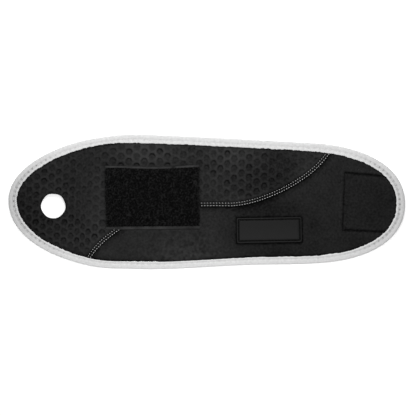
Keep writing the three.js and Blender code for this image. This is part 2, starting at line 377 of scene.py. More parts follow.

# %% [markdown]
# ## Materials
# Each finish is one Principled shader. Its colour starts from a single tone and is made lighter or darker
# by a sum of effects: the groups above, and an attribute called tone that the geometry stores where cloth
# is pressed, creased or worn. In creases, grooves and beside raised parts tone is painted shade, on ridges,
# folds and selvedges it is a painted highlight or sheen, and soft blotches of it paint light and shade.
# A multiplied colour ramp would be shorter, but a sum of named effects is easier to tune.

# %% Material helpers
def new_material(name, values):
    """A material with a Principled shader, whose constant values are set on its own sockets."""
    material = bpy.data.materials.new(name)
    material.use_nodes = True
    shader = material.node_tree.nodes["Principled BSDF"]
    for socket, value in values.items():
        shader.inputs[socket].default_value = value
    return material, material.node_tree, shader


def millimetres(tree):
    """Where a point of the surface lies, in millimetres."""
    place = add(tree, "TexCoord").outputs["Object"]
    return add(tree, "VectorMath", {0: place, 1: (1 / MM,) * 3}, operation="MULTIPLY").outputs[0]


def stored(tree, name):
    """A number that the mesh stores at each point."""
    return add(tree, "Attribute", attribute_name=name).outputs["Fac"]


def scaled(tree, value, amount):
    return maths(tree, "MULTIPLY", value, amount)


def tinted(tree, shader, colour, *effects):
    """Base colour: the colour times one plus the sum of effects."""
    level = maths(tree, "MAXIMUM", total(tree, 1.0, *effects), 0.05)
    shade = add(tree, "VectorMath", {0: colour, "Scale": level}, operation="SCALE").outputs[0]
    tree.links.new(shade, shader.inputs["Base Color"])


def raised(tree, shader, height, depth, strength):
    """A bump of some depth, in millimetres."""
    relief = add(tree, "Bump", {"Strength": strength, "Distance": depth * MM, "Height": height})
    tree.links.new(relief.outputs[0], shader.inputs["Normal"])


def grey(level):
    return (level, level, level)


print("material helpers ready")

# %% Cloth of the two panels
def cloth(name, level, wale, course, mottling):
    values = {"Roughness": 0.9, "Specular IOR Level": 0.08, "Sheen Weight": 0.03, "Sheen Roughness": 0.5}
    material, tree, shader = new_material(name, values)
    place = millimetres(tree)
    loops = effect(tree, knit, Vector=place, Wale=wale, Course=course)
    patches = effect(tree, mottle, Vector=place, Size=14.0)
    flecks = effect(tree, mottle, Vector=place, Size=1.8)
    specks = effect(tree, lint, Vector=place, Size=3.2, Share=0.03)
    tinted(
        tree,
        shader,
        grey(level),
        stored(tree, "tone"),
        scaled(tree, maths(tree, "SUBTRACT", loops, 0.4), 0.35),
        scaled(tree, patches, mottling),
        scaled(tree, flecks, mottling * 2.8),
        scaled(tree, specks, 0.7),
    )
    raised(tree, shader, loops, depth=0.12, strength=0.6)
    return material


honeycomb_cloth = cloth("honeycomb_cloth", level=0.0175, wale=0.9, course=0.7, mottling=0.38)
plain_cloth = cloth("plain_cloth", level=0.0175, wale=0.8, course=0.6, mottling=0.34)
print("made", honeycomb_cloth.name, "and", plain_cloth.name)

# %% Pale tape of the binding
values = {"Roughness": 0.9, "Specular IOR Level": 0.2, "Sheen Weight": 0.08, "Sheen Roughness": 0.5}
binding_tape, tree, shader = new_material("binding_tape", values)
cords = effect(tree, ribs, Along=stored(tree, "along"), Across=stored(tree, "across"), Pitch=0.95)
patches = effect(tree, mottle, Vector=millimetres(tree), Size=1.7)
tinted(
    tree,
    shader,
    grey(0.74),
    stored(tree, "tone"),
    scaled(tree, maths(tree, "SUBTRACT", cords, 0.5), 0.10),
    scaled(tree, patches, 0.24),
)
raised(tree, shader, cords, depth=0.12, strength=0.5)
print("made", binding_tape.name)

# %% Threads
def thread(name, level):
    material, tree, shader = new_material(name, {"Roughness": 0.7, "Specular IOR Level": 0.1})
    strands = effect(tree, ply, Along=stored(tree, "along"), Around=stored(tree, "around"), Pitch=0.5)
    tinted(tree, shader, grey(level), scaled(tree, maths(tree, "SUBTRACT", strands, 0.6), 0.4))
    raised(tree, shader, strands, depth=0.06, strength=0.6)
    return material


white_thread = thread("white_thread", 0.80)
pale_thread = thread("pale_thread", 0.78)
black_thread = thread("black_thread", 0.006)
print("made", white_thread.name, pale_thread.name, black_thread.name)

# %% Loop pile, hook tape and their woven ground
def napped(name, level, roughness):
    """Nylon filaments and their ground, with a tone of their own at each point."""
    material, tree, shader = new_material(name, {"Roughness": roughness, "Specular IOR Level": 0.06})
    place = millimetres(tree)
    clumps = effect(tree, mottle, Vector=place, Size=1.2)
    grain = effect(tree, mottle, Vector=place, Size=0.5)
    shades = [scaled(tree, clumps, 1.2), scaled(tree, grain, 0.4)]
    tinted(tree, shader, grey(level), stored(tree, "tone"), *shades)
    raised(tree, shader, grain, depth=0.15, strength=0.6)
    return material


def woven(name, level):
    """A flat woven tape, ribbed along its length."""
    material, tree, shader = new_material(name, {"Roughness": 0.8, "Specular IOR Level": 0.12})
    place = millimetres(tree)
    xyz = add(tree, "SeparateXYZ", {0: place}).outputs
    cords = effect(tree, ribs, Along=xyz["X"], Across=xyz["Y"], Pitch=0.7)
    patches = effect(tree, mottle, Vector=place, Size=4.0)
    tinted(
        tree,
        shader,
        grey(level),
        stored(tree, "tone"),
        scaled(tree, maths(tree, "SUBTRACT", cords, 0.5), 0.6),
        scaled(tree, patches, 0.4),
    )
    raised(tree, shader, cords, depth=0.12, strength=0.7)
    return material


loop_pile = napped("loop_pile", level=0.0056, roughness=0.9)
loop_ground = woven("loop_ground", level=0.016)
hook_nylon = napped("hook_nylon", level=0.014, roughness=0.4)
hook_ground = woven("hook_ground", level=0.016)
print("made", loop_pile.name, loop_ground.name, hook_nylon.name, hook_ground.name)

# %% Moulded label
moulded, tree, shader = new_material("moulded_label", {"Specular IOR Level": 0.12})
place = millimetres(tree)
pebbles = add(tree, "TexVoronoi", {"Vector": place, "Scale": 2.2}).outputs["Distance"]
smears = effect(tree, mottle, Vector=place, Size=6.0)
tinted(tree, shader, grey(0.009), stored(tree, "tone"), scaled(tree, smears, 0.8))
gloss = total(tree, 0.46, scaled(tree, smears, 0.20), scaled(tree, stored(tree, "grain"), 0.08))
tree.links.new(gloss, shader.inputs["Roughness"])
raised(tree, shader, maths(tree, "MULTIPLY", pebbles, stored(tree, "grain")), depth=0.08, strength=0.5)
print("made", moulded.name)

# %% [markdown]
# ## Making a piece
# A piece is a mesh from arrays of points and faces, with numbers stored at its points for the material.
# It could be put together with bpy.ops, but arrays are quicker and always give the same result. Each
# piece then rides on the frame's one body and hides the solid it stands for.

# %% Piece and solid helpers
def make_piece(name, points, faces, material, slot, stands_for=None, **numbers):
    """A smooth mesh object. points are in millimetres, and numbers are stored for the material to read."""
    mesh = bpy.data.meshes.new(name)
    mesh.from_pydata(points * MM, [], faces)
    for key, value in numbers.items():
        stored_values = mesh.attributes.new(key, "FLOAT", "POINT").data
        stored_values.foreach_set("value", np.asarray(value, dtype=np.float32))
    work = bmesh.new()
    work.from_mesh(mesh)
    bmesh.ops.recalc_face_normals(work, faces=work.faces)
    for face in work.faces:
        face.smooth = True
    work.to_mesh(mesh)
    work.free()
    mesh.materials.append(material)
    piece = bpy.data.objects.new(name, mesh)
    bpy.context.scene.collection.objects.link(piece)
    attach(piece, "root")
    if stands_for:
        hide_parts(stands_for)
    print(name, "has", len(mesh.vertices), "points and", len(mesh.polygons), "faces")
    return piece


def encloses(rim, points):
    """True for points inside a closed line: a ray to their right crosses it an odd number of times."""
    x, y = points[:, :1], points[:, 1:]
    (ax, ay), (bx, by) = rim.T, np.roll(rim, -1, 0).T
    astride = (ay > y) != (by > y)
    crossing = ax + (y - ay) * (bx - ax) / np.where(by == ay, 1, by - ay)
    return (astride & (crossing > x)).sum(1) % 2 == 1


def skin(rims, inner):
    """Triangles inside the first rim and outside the others, through some inner points."""
    flat = np.concatenate([*rims, inner])
    links = []
    first = 0
    for rim in rims:
        count = len(rim)
        links += [(first + i, first + (i + 1) % count) for i in range(count)]
        first += count
    places, _, triangles, *_ = delaunay_2d_cdt([Vector(p) for p in flat], links, [], 1, 1e-6, False)
    assert len(places) == len(flat), "two points of a skin are the same"
    triangles = np.array(triangles)
    doubtful = np.flatnonzero((triangles < first).all(1))
    middles = flat[triangles[doubtful]].mean(1)
    within = sum(encloses(rim, middles).astype(int) for rim in rims) % 2 == 1
    return flat, np.delete(triangles, doubtful[~within], axis=0)


def layer(rims, inner_top, inner_bottom, top, bottom):
    """A closed layer between two height formulas, with walls round its rims."""
    top_flat, top_faces = skin(rims, inner_top)
    low_flat, low_faces = skin(rims, inner_bottom)
    upper = np.column_stack([top_flat, top(top_flat)])
    lower = np.column_stack([low_flat, bottom(low_flat)])
    faces = [top_faces, low_faces[:, ::-1] + len(upper)]
    first = 0
    for rim in rims:
        here = first + np.arange(len(rim))
        after = first + (np.arange(len(rim)) + 1) % len(rim)
        faces.append(np.column_stack([here, after, after + len(upper)]))
        faces.append(np.column_stack([here, after + len(upper), here + len(upper)]))
        first += len(rim)
    return np.concatenate([upper, lower]), np.concatenate(faces), len(upper)


GRID_REACH = (165, 60)  # half the length and width of a grid that covers the wrap


def grid(step):
    """Points on a grid over the whole wrap."""
    half_x, half_y = (math.ceil(reach / step) for reach in GRID_REACH)
    x = step * np.arange(-half_x, half_x)
    y = step * np.arange(-half_y, half_y)
    return np.stack(np.meshgrid(x, y), axis=-1).reshape(-1, 2)


def level_at(z):
    """The height formula of a level face."""
    return lambda flat: np.full(len(flat), z)


def surveyed(formula):
    """A height formula that needs a survey, as one of plain points."""
    return lambda flat: formula(survey(flat))


print("piece helpers ready")

# %% [markdown]
# ## The honeycomb panel
# This panel is foam with a knitted face, pressed hot against a honeycomb plate, so hexagonal cells sink
# and the ridges between them stay high. The ridges get a painted highlight, and the upper wall of each cell
# painted shade. The columns of cells are squeezed in some places and lean in others, as cloth does when it
# is stretched, so a short table says where they run. A texture could draw the cells, but from the side they
# have to be real, so they are part of the height.
# The face also dips where the binding pinches it, along two rows of stitches beside the seam and round
# the cut hole.

# %% Heights that both panels share
Binding = namedtuple("Binding", "width top tape")
BINDING = Binding(width=6.4, top=top_of("edge_binding"), tape=0.7)
CLEARANCE = 0.3
SLIP = 0.05  # room that the squeezed foam has in the binding
PINCH_TOP = BINDING.top - BINDING.tape - CLEARANCE - SLIP
PINCH_BOTTOM = BINDING.tape + CLEARANCE + SLIP
PINCH_REACH = 3.4  # how far from the binding the foam is back at its full thickness
TUCK = 3.4  # how far inside the bound edge a panel ends, hidden in the binding


def pinched(place):
    """1 where the binding squeezes a panel, 0 where the foam is at its full thickness."""
    return 1 - ramp(place.edge - BINDING.width, -0.6, PINCH_REACH)


print("pinched edge:", round(PINCH_TOP - PINCH_BOTTOM, 2), "mm thick")

# %% Cells of the honeycomb
Column = namedtuple("Column", "number x lean y row")
Cell = namedtuple("Cell", "row pad wall mouth depth")
Spot = namedtuple("Spot", "reach above firm")

# x is where a column crosses the X axis, lean how far it goes right for each millimetre up, y the height of
# one cell of an even column, and row how far apart its cells are. Columns between these are spaced evenly.
HONEYCOMB = [
    Column(number=-5, x=-153.6, lean=0.02, y=34.6, row=7.3),
    Column(number=2, x=-113.3, lean=0.038, y=34.6, row=7.3),
    Column(number=4, x=-102.6, lean=0.04, y=35.4, row=7.4),
    Column(number=6, x=-94.3, lean=0.04, y=37.0, row=7.65),
    Column(number=8, x=-82.9, lean=0.04, y=36.9, row=7.7),
    Column(number=11, x=-63.2, lean=0.03, y=36.1, row=7.6),
    Column(number=16, x=-32.2, lean=0.02, y=36.2, row=7.6),
    Column(number=18, x=-19.4, lean=0.015, y=37.8, row=7.7),
    Column(number=20, x=-6.0, lean=0.015, y=38.6, row=7.75),
    Column(number=23, x=10.5, lean=0.015, y=38.2, row=7.85),
    Column(number=25, x=21.4, lean=0.015, y=38.4, row=7.85),
    Column(number=29, x=45.6, lean=0.015, y=39.9, row=7.85),
    Column(number=38, x=100.0, lean=0.015, y=40.2, row=7.8),
]
CELL = Cell(row=7.4, pad=0.6, wall=2.1, mouth=2.9, depth=0.6)  # a regular cell, before the cloth is stretched
LUCK_TABLE = 64  # rows and columns of cells, after which their firmness repeats


def spot_in_cell(points):
    """How far points lie from the middle of their cell, how far up that is, and how firm the cell is."""
    numbers, xs, leans, ys, rows = np.array(HONEYCOMB).T
    across = points[:, 0] - np.interp(points[:, 0], xs, leans) * points[:, 1]
    number = np.interp(across, xs, numbers)
    level = (points[:, 1] - np.interp(across, xs, ys)) / np.interp(across, xs, rows)
    luck = np.random.default_rng([SEED, 15]).uniform(0.35, 1.3, (LUCK_TABLE, LUCK_TABLE))
    found = Spot(np.full(len(points), np.inf), np.zeros(len(points)), np.zeros(len(points)))
    for beside_it in (-1, 0, 1):
        column = np.round(number) + beside_it
        lift = column % 2 / 2  # every other column is half a row higher
        row = np.round(level - lift)
        right = (number - column) * CELL.row * math.sqrt(3) / 2
        up = (level - lift - row) * CELL.row
        straight = np.hypot(right, up)
        six_sided = np.maximum(np.abs(up), math.sqrt(3) / 2 * np.abs(right) + np.abs(up) / 2)
        reach = 0.6 * six_sided + 0.4 * straight
        firm = luck[column.astype(int) % LUCK_TABLE, row.astype(int) % LUCK_TABLE]
        this_cell = Spot(reach, up / (straight + 0.1), firm)
        found = Spot(*(np.where(reach < found.reach, new, old) for new, old in zip(this_cell, found)))
    return found


def cell_depth(spot):
    """1 at the foot of a cell's upper wall, 0 on the ridges. The lower wall is gentle, the middle swells."""
    foot = CELL.wall - 0.9 * (1 - ramp(spot.above, -0.6, 0.5))
    well = 1 - ramp(spot.reach, foot, CELL.mouth)
    pad = 1 - ramp(spot.reach, CELL.pad, CELL.wall)
    return (well - 0.5 * pad) * spot.firm


column = HONEYCOMB[1]
middle = spot_in_cell(np.array([[column.x + column.lean * column.y, column.y]]))
print("a cell's middle is", round(cell_depth(middle)[0] * CELL.depth, 2), "mm deep")

# %% Honeycomb height and tone
HONEYCOMB_TOP = top_of("honeycomb_panel")
STITCH_ROWS = (0.75, 2.85)  # distance of the seam's two stitch rows from the cut edge
LAP = 7.0
LAP_TOP = 1.5
INNER_TONE = -0.1  # the inner face is a little darker
# Pressing sets the depth of the cells, and it also scales their painted ridge highlights and painted wall
# shade.
PRESSED = [  # where the honeycomb was pressed more firmly, or less
    Blotch(x=-50, y=43, across=22, up=14, amount=0.65),
    Blotch(x=20, y=40, across=24, up=14, amount=0.45),
    Blotch(x=14, y=16, across=12, up=16, amount=0.15),
    Blotch(x=-94, y=-30, across=18, up=10, amount=0.30),
    Blotch(x=-98, y=14, across=10, up=40, amount=-0.3),
    Blotch(x=66, y=32, across=20, up=24, amount=-0.3),
    Blotch(x=-1, y=34, across=8, up=16, amount=-0.35),
]
# Painted light and shade over the honeycomb face, partly wear: lighter along the top, darker at the left end.
HONEYCOMB_SHEEN_SHADE_AND_WEAR = [  # lighter and darker places of the honeycomb face
    Blotch(x=-45, y=41, across=25, up=14, amount=0.47),
    Blotch(x=21, y=40, across=24, up=12, amount=0.36),
    Blotch(x=46, y=16, across=20, up=15, amount=-0.36),
    Blotch(x=58, y=34, across=14, up=18, amount=-0.2),
    Blotch(x=77, y=26, across=8, up=10, amount=0.18),
    Blotch(x=-16, y=42, across=9, up=10, amount=-0.25),
    Blotch(x=-104, y=18, across=16, up=34, amount=-0.18),
    Blotch(x=-144, y=-4, across=15, up=28, amount=-0.45),
    Blotch(x=-126, y=-18, across=16, up=9, amount=-0.35),
    Blotch(x=-87, y=-6, across=9, up=34, amount=0.22),
]


def press(place):
    """How firmly the honeycomb was pressed: less beside seams and edges, and uneven over the panel."""
    firm = 0.55 + blotches(place.points, PRESSED) + 0.15 * noise(place.points, 18, seed=1)
    firm *= ramp(place.edge - BINDING.width, 0.8, 3.6)
    firm *= ramp(-place.seam, 4.0, 6.5)
    firm *= ramp(place.patch, -1.0, 1.5)
    return firm * ramp(place.hole, 0.2, 2.2)


def honeycomb_top(place):
    z = HONEYCOMB_TOP - 0.1 + 0.10 * noise(place.points, 40, seed=2)
    z -= CELL.depth * cell_depth(spot_in_cell(place.points)) * press(place)
    for row in STITCH_ROWS:
        z -= 0.32 * bump(place.seam + row, 0.6)
    z -= 0.5 * (1 - ramp(-place.seam, 0, 0.9))
    z -= 0.45 * (1 - ramp(place.hole, 0, 1.3))
    z -= 0.1 * (1 - ramp(place.patch, -2, 2))
    return z + (PINCH_TOP - z) * pinched(place)


def honeycomb_bottom(place):
    z = np.where(place.seam > -LAP - CLEARANCE, LAP_TOP + CLEARANCE, 0.0)
    return z + (PINCH_BOTTOM - z) * pinched(place) * (place.seam < -LAP - CLEARANCE)


def honeycomb_tone(place):
    spot = spot_in_cell(place.points)
    # Painted highlight on the ridges, painted shade on each cell's upper wall and a little in its floor.
    ridge = ramp(spot.reach, CELL.wall + 0.3, CELL.mouth + 0.2)
    upper_wall = bump(spot.reach - CELL.wall - 0.15, 0.6) * ramp(spot.above, -0.4, 0.6)
    tone = blotches(place.points, HONEYCOMB_SHEEN_SHADE_AND_WEAR)
    tone += press(place) * (0.58 * ridge - spot.firm * (0.90 * upper_wall + 0.20 * (1 - ridge)))
    # Painted shadow on the cloth just above the loop patch.
    over_patch = ramp(place.points[:, 1] - LOOP_PATCH.y, 24, 26)
    tone -= 0.26 * over_patch * (1 - ramp(place.patch, 2.0, 5.0))
    # Painted shade in the crease by the binding, along the stitch rows of the seam and round the hole, and a
    # painted highlight on the puffed cloth beyond the seam.
    tone -= 0.8 * bump(place.edge - BINDING.width, 1.0)
    tone -= 0.5 * (1 - ramp(-place.seam, 3.6, 4.8))
    tone += 0.2 * bump(place.seam + 5.8, 1.0)
    return tone - 0.25 * bump(place.hole, 0.6)


print("stitch rows lie", STITCH_ROWS, "mm from the cut edge")

# %% Honeycomb panel
def along_parallels(line, closed, distances, spacing):
    """Points on lines that keep some distances from a line, so that folds there are cleanly drawn."""
    return np.concatenate([even(moved(line, d, closed), spacing, closed) for d in distances])


def clear_of(values, lines, gap):
    """True where no value is within a gap of one of the lines."""
    return (np.abs(values[:, None] - np.array(lines)) > gap).all(1)


def run_of(mask):
    """The indices of a closed line's points where mask is true, in order along it."""
    start = np.flatnonzero(mask & ~np.roll(mask, 1))[0]
    order = (start + np.arange(len(mask))) % len(mask)
    return order[mask[order]]


def panel_rim(seam_line, side, spacing):
    """A panel's outline: its own stretch of the bound edge, closed along the seam."""
    bound = even(moved(edge, TUCK, True), spacing, True)
    sewn = even(seam_line, spacing, False)
    own = run_of(beside(bound, seam_line, False)[0] * side > 0.4)
    sewn = sewn[beside(sewn, edge, True)[0] > TUCK + 0.4]
    return np.concatenate([bound[own], sewn if side > 0 else sewn[::-1]])


FINE = 0.62  # spacing of the points that carry the honeycomb
EDGE_FOLDS = [BINDING.width + step for step in (-0.5, 0.3, 1.0, 1.8, 2.8)]
SEAM_FOLDS = [-0.3, -0.75, -1.2, -1.8, -2.4, -2.85, -3.3, -3.9, -4.6]
HOLE_FOLDS = [0.35, 0.8, 1.4]


def hole_ring(distance, spacing):
    """The die-cut hole, a little out of round, or a ring some distance outside it."""
    turn = np.linspace(0, 2 * math.pi, round(2 * math.pi * THUMB_HOLE.radius / spacing), endpoint=False)
    radius = THUMB_HOLE.radius + distance + 0.12 * np.cos(6 * turn + 0.4) + 0.10 * np.cos(5 * turn + 2)
    return np.stack([THUMB_HOLE.x + radius * np.cos(turn), THUMB_HOLE.y + radius * np.sin(turn)], axis=1)


rim = panel_rim(seam, side=-1, spacing=FINE)
folds = np.concatenate(
    [
        along_parallels(edge, True, EDGE_FOLDS, FINE),
        along_parallels(seam, False, SEAM_FOLDS, 0.55),
        *[hole_ring(fold, 0.6) for fold in HOLE_FOLDS],
    ]
)
place = survey(folds)
on_edge_fold = ~clear_of(place.edge, EDGE_FOLDS, 0.05)
keep = (place.edge > TUCK + 0.3) & (place.seam < -0.2) & (place.hole > 0.2)
keep &= (place.edge > TUCK + 1.5) | (place.seam < -1.5)
keep &= ~(on_edge_fold & (place.seam > -5.0) & (place.hole > 3))
folds = folds[keep]
points = grid(FINE)
place = survey(points)
keep = (place.edge > TUCK + 0.4) & (place.seam < -0.3) & (place.hole > 1.8)
keep &= (place.edge > TUCK + 1.5) | (place.seam < -1.5)
keep &= clear_of(place.edge, EDGE_FOLDS, 0.36) & clear_of(place.seam, SEAM_FOLDS, 0.3)
inner = np.concatenate([folds, points[keep]])
points = grid(4)
place = survey(points)
keep = (place.edge > BINDING.width + 4) & (place.hole > 2)
keep &= (place.seam < -1) & clear_of(place.seam, [-LAP], 1.5)
step = along_parallels(seam, False, [-LAP - 0.5, -LAP - 0.2], 2)
step_place = survey(step)
step = step[(step_place.edge > TUCK + 1)]
pinch = along_parallels(edge, True, [BINDING.width + 0.5, BINDING.width + 2.5], 2)
pinch_place = survey(pinch)
pinch = pinch[(pinch_place.seam < -LAP - 1.5) & (pinch_place.hole > 2)]
inner_bottom = np.concatenate([points[keep], step, pinch])
hole = hole_ring(-0.15, 0.6)
heights = surveyed(honeycomb_top), surveyed(honeycomb_bottom)
points, faces, upper = layer([rim, hole], inner, inner_bottom, *heights)
tone = honeycomb_tone(survey(points[:, :2]))
tone[upper:] = INNER_TONE
honeycomb_panel = make_piece(
    "honeycomb_panel_cloth", points, faces, honeycomb_cloth, "honeycomb_cloth",
    stands_for="honeycomb_panel", tone=tone,
)
honeycomb_cut = [rim, hole]

# %% [markdown]
# ## The plain panel
# The other panel is the same foam with a smooth face. Its edge is tucked under the honeycomb panel and
# pulled down by the seam, which leaves a step beside the stitches, darkened with painted shade. Near its
# round end a rectangle of stitches holds the hook tape underneath, and their thread pulls a groove into
# this face, which is painted dark as well.

# %% Plain height and tone
PLAIN_TOP = top_of("plain_panel")
HOOK_SEAT = 1.6
SEAM_DIP = 1.0
Corner = namedtuple("Corner", "x y")
HOOK_SEWING = [  # three sides of the hook tape's stitches, as they were sewn
    Corner(x=141.5, y=20.4),
    Corner(x=110.4, y=23.4),
    Corner(x=108.7, y=-22.6),
    Corner(x=142.5, y=-24.2),
]


def hook_stitch_line(spacing):
    return even(np.array(HOOK_SEWING), spacing, False)


hook_stitches = hook_stitch_line(0.25)


def groove(points):
    """How far each point lies from the hook tape's stitch line, and how hard the thread pulls there."""
    found = beside(points, hook_stitches, False)[1]
    cross_stitched = hook_stitches[found, 0] < HOOK_SEWING[1].x + 0.3
    return np.hypot(*(points - hook_stitches[found]).T), np.where(cross_stitched, 0.65, 1.0)


def plain_top(place):
    z = PLAIN_TOP - 0.1 + 0.10 * noise(place.points, 40, seed=3)
    z -= SEAM_DIP * (1 - ramp(place.seam, 0.2, 3.2))
    z += (HONEYCOMB_TOP - 0.1 - z) * (1 - ramp(place.patch, -2.5, 1.0))
    z -= 0.45 * bump(place.label, 1.0)
    away, pull = groove(place.points)
    z -= 0.9 * pull * bump(away, 0.7 * pull)
    z -= 0.12 * (1 - ramp(place.hook, -3, -1.5))
    z += 0.06 * bump(place.hook, 0.7)
    z += (PINCH_TOP - z) * pinched(place)
    return np.where(place.seam < 0.2, LAP_TOP, z)


def plain_bottom(place):
    z = HOOK_SEAT * (1 - ramp(place.hook, 0.2, 0.5))
    return np.maximum(z, PINCH_BOTTOM * pinched(place))


# Painted light and shade over the plain face, partly wear: lighter low in the middle, with flecks there,
# darker round the label and towards the round end.
PLAIN_SHEEN_SHADE_AND_WEAR = [  # lighter and darker places of the plain face
    Blotch(x=-15, y=-34, across=55, up=20, amount=0.24),
    Blotch(x=-14, y=-44, across=28, up=9, amount=0.34),
    Blotch(x=-84, y=-37, across=10, up=8, amount=0.2),
    Blotch(x=46, y=-6, across=26, up=9, amount=-0.6),
    Blotch(x=21, y=-24, across=8, up=11, amount=-0.35),
    Blotch(x=52, y=-39, across=36, up=10, amount=-0.4),
    Blotch(x=84, y=-20, across=14, up=12, amount=-0.28),
    Blotch(x=116, y=-32, across=10, up=9, amount=-0.28),
    Blotch(x=132, y=-2, across=36, up=40, amount=-0.2),
]


def plain_tone(place):
    sheen_shade_and_wear = blotches(place.points, PLAIN_SHEEN_SHADE_AND_WEAR)
    tone = sheen_shade_and_wear + 1.6 * np.maximum(sheen_shade_and_wear, 0) * noise(place.points, 1.8, seed=16)
    # Painted shade in the crease by the binding, and a painted shadow beside the seam where the honeycomb
    # panel stands higher.
    tone -= 0.8 * bump(place.edge - BINDING.width, 1.0)
    tone -= 0.55 * (1 - ramp(place.seam, 0.8, 5.5))
    # Painted shadow round the label, stronger along its left and top sides.
    right, up = to_place(place.points, LABEL).T
    shaded = (right < -LABEL.length / 2 + 1) | (up > LABEL.width / 2 - 1)
    tone -= np.where(shaded, 0.9, 0.6) * bump(place.label, 1.1)
    # Painted light along the loop patch's edge.
    tone += 0.35 * bump(place.patch - 0.4, 0.8)
    # Painted shade in the groove of the hook tape's stitches; a little darker inside the rectangle and a
    # lighter line along its outline.
    away, pull = groove(place.points)
    tone -= 1.1 * pull * bump(away, 0.85 * pull)
    tone -= 0.12 * (1 - ramp(place.hook, -3, -1.5))
    return np.maximum(tone + 0.15 * bump(place.hook, 0.7), -0.9)


print("hook tape is sewn along", round(0.25 * len(hook_stitches)), "mm of stitches")


# %% Plain panel
PLAIN_FINE = 0.85
PLAIN_SEAM_FOLDS = [-0.1, 0.2, 0.35, 0.9, 1.6, 2.4, 3.3]
LABEL_FOLDS = (0.2, 0.8, 1.6)


def around(place, distance, spacing):
    """A line round a patch's rectangle, some distance outside it."""
    x, y = place.length / 2 + distance, place.width / 2 + distance
    return from_place(even(np.array([[-x, -y], [x, -y], [x, y], [-x, y]]), spacing, True), place)


rim = panel_rim(moved(seam, -LAP, False), side=1, spacing=PLAIN_FINE)
groove_line = hook_stitch_line(0.6)
folds = np.concatenate(
    [
        along_parallels(edge, True, EDGE_FOLDS, PLAIN_FINE),
        along_parallels(seam, False, PLAIN_SEAM_FOLDS, 0.8),
        *[around(LABEL, fold, 0.8) for fold in LABEL_FOLDS],
        *[moved(groove_line, side, False) for side in (-1.1, -0.5, 0, 0.5, 1.1)],
    ]
)
place = survey(folds)
on_edge_fold = ~clear_of(place.edge, EDGE_FOLDS, 0.05)
keep = (place.edge > TUCK + 0.3) & (place.seam > -0.3)
keep &= ~(on_edge_fold & (place.seam < 4.0))
folds = folds[keep]
points = grid(PLAIN_FINE)
place = survey(points)
keep = (place.edge > TUCK + 0.4) & (place.seam > 0.4)
keep &= clear_of(place.edge, EDGE_FOLDS, 0.4) & clear_of(place.seam, PLAIN_SEAM_FOLDS, 0.36)
keep &= clear_of(place.label, LABEL_FOLDS, 0.36) & (groove(points)[0] > 1.5)
inner = np.concatenate([folds, points[keep]])
points = grid(4)
place = survey(points)
keep = (place.edge > BINDING.width + 4) & (place.seam > 1 - LAP) & (np.abs(place.hook) > 1.5)
pinch = along_parallels(edge, True, [BINDING.width + 0.5, BINDING.width + 2.5], 2)
pinch = pinch[survey(pinch).seam > 2 - LAP]
seat = np.concatenate([around(HOOK_PATCH, 0.15, 1.5), around(HOOK_PATCH, 0.5, 1.5)])
seat = seat[survey(seat).edge > BINDING.width + 3.2]
inner_bottom = np.concatenate([points[keep], pinch, seat])
points, faces, upper = layer([rim], inner, inner_bottom, surveyed(plain_top), surveyed(plain_bottom))
tone = plain_tone(survey(points[:, :2]))
tone[upper:] = INNER_TONE
plain_panel = make_piece(
    "plain_panel_cloth", points, faces, plain_cloth, "plain_cloth", stands_for="plain_panel", tone=tone
)
plain_cut = [rim]

# %% [markdown]
# ## The edge binding
# Binding is a soft knitted tape, folded over the raw edge and sewn through. A curve with a bevel profile
# would sweep a constant section, but here the section changes along the way: the needle pulls a small pit
# every few millimetres, the tape puffs up between the pits, and its inner edge wavers. So each section is
# worked out from the same list of profile points, row by row.

# %% Binding section
STITCH_ROW = 4.2  # how far inside the bound edge the binding's stitches run
STITCH_PITCH = edge_length / round(edge_length / 4.4)
FOLD_REACH = 2.2
FOLD_STEPS = 9
LIP = [6.1, 6.03, 5.85, 5.6, 5.3, 5.0, 4.75, 4.5, 4.2, 3.9, 3.6, 3.3, 2.95, 2.55]
LINING = [(5.95, 0.68), (4.0, 0.72), (2.4, 0.8), (1.5, 1.25), (1.2, 1.9)]


def binding_profile():
    """Rows of (inset, height, side) round the tape: over the top, round the fold, under, and back inside."""
    half = BINDING.top / 2
    drop = [0.32, 0.12, 0.03] + [0.0] * (len(LIP) - 3)
    over = [(inset, BINDING.top - low, 1) for inset, low in zip(LIP, drop)]
    fold = []
    for turn in np.linspace(math.pi / 2, -math.pi / 2, FOLD_STEPS):
        inset = FOLD_REACH * (1 - abs(math.cos(turn)) ** 0.8)
        rise = math.copysign(abs(math.sin(turn)) ** 0.8, math.sin(turn))
        fold.append((inset, half + half * rise, rise))
    under = [(inset, low, -1) for inset, low in zip(LIP[::-1], drop[::-1])]
    inside = [(inset, z, 0) for inset, z in LINING]
    inside += [(inset, BINDING.top - z, 0) for inset, z in LINING[-2::-1]]
    return np.array(over + fold + under + inside)


profile = binding_profile()
print("binding section has", len(profile), "points")

# %% Binding
BINDING_STEP = 0.55
BULGE = 0.75  # how much wider the tape is round the two ends
SLACK = 0.5  # how much wider it is along the upper edge
TOOTH = edge_length / round(edge_length / 1.9)  # spacing of the slanting loops along the tape's inner edge
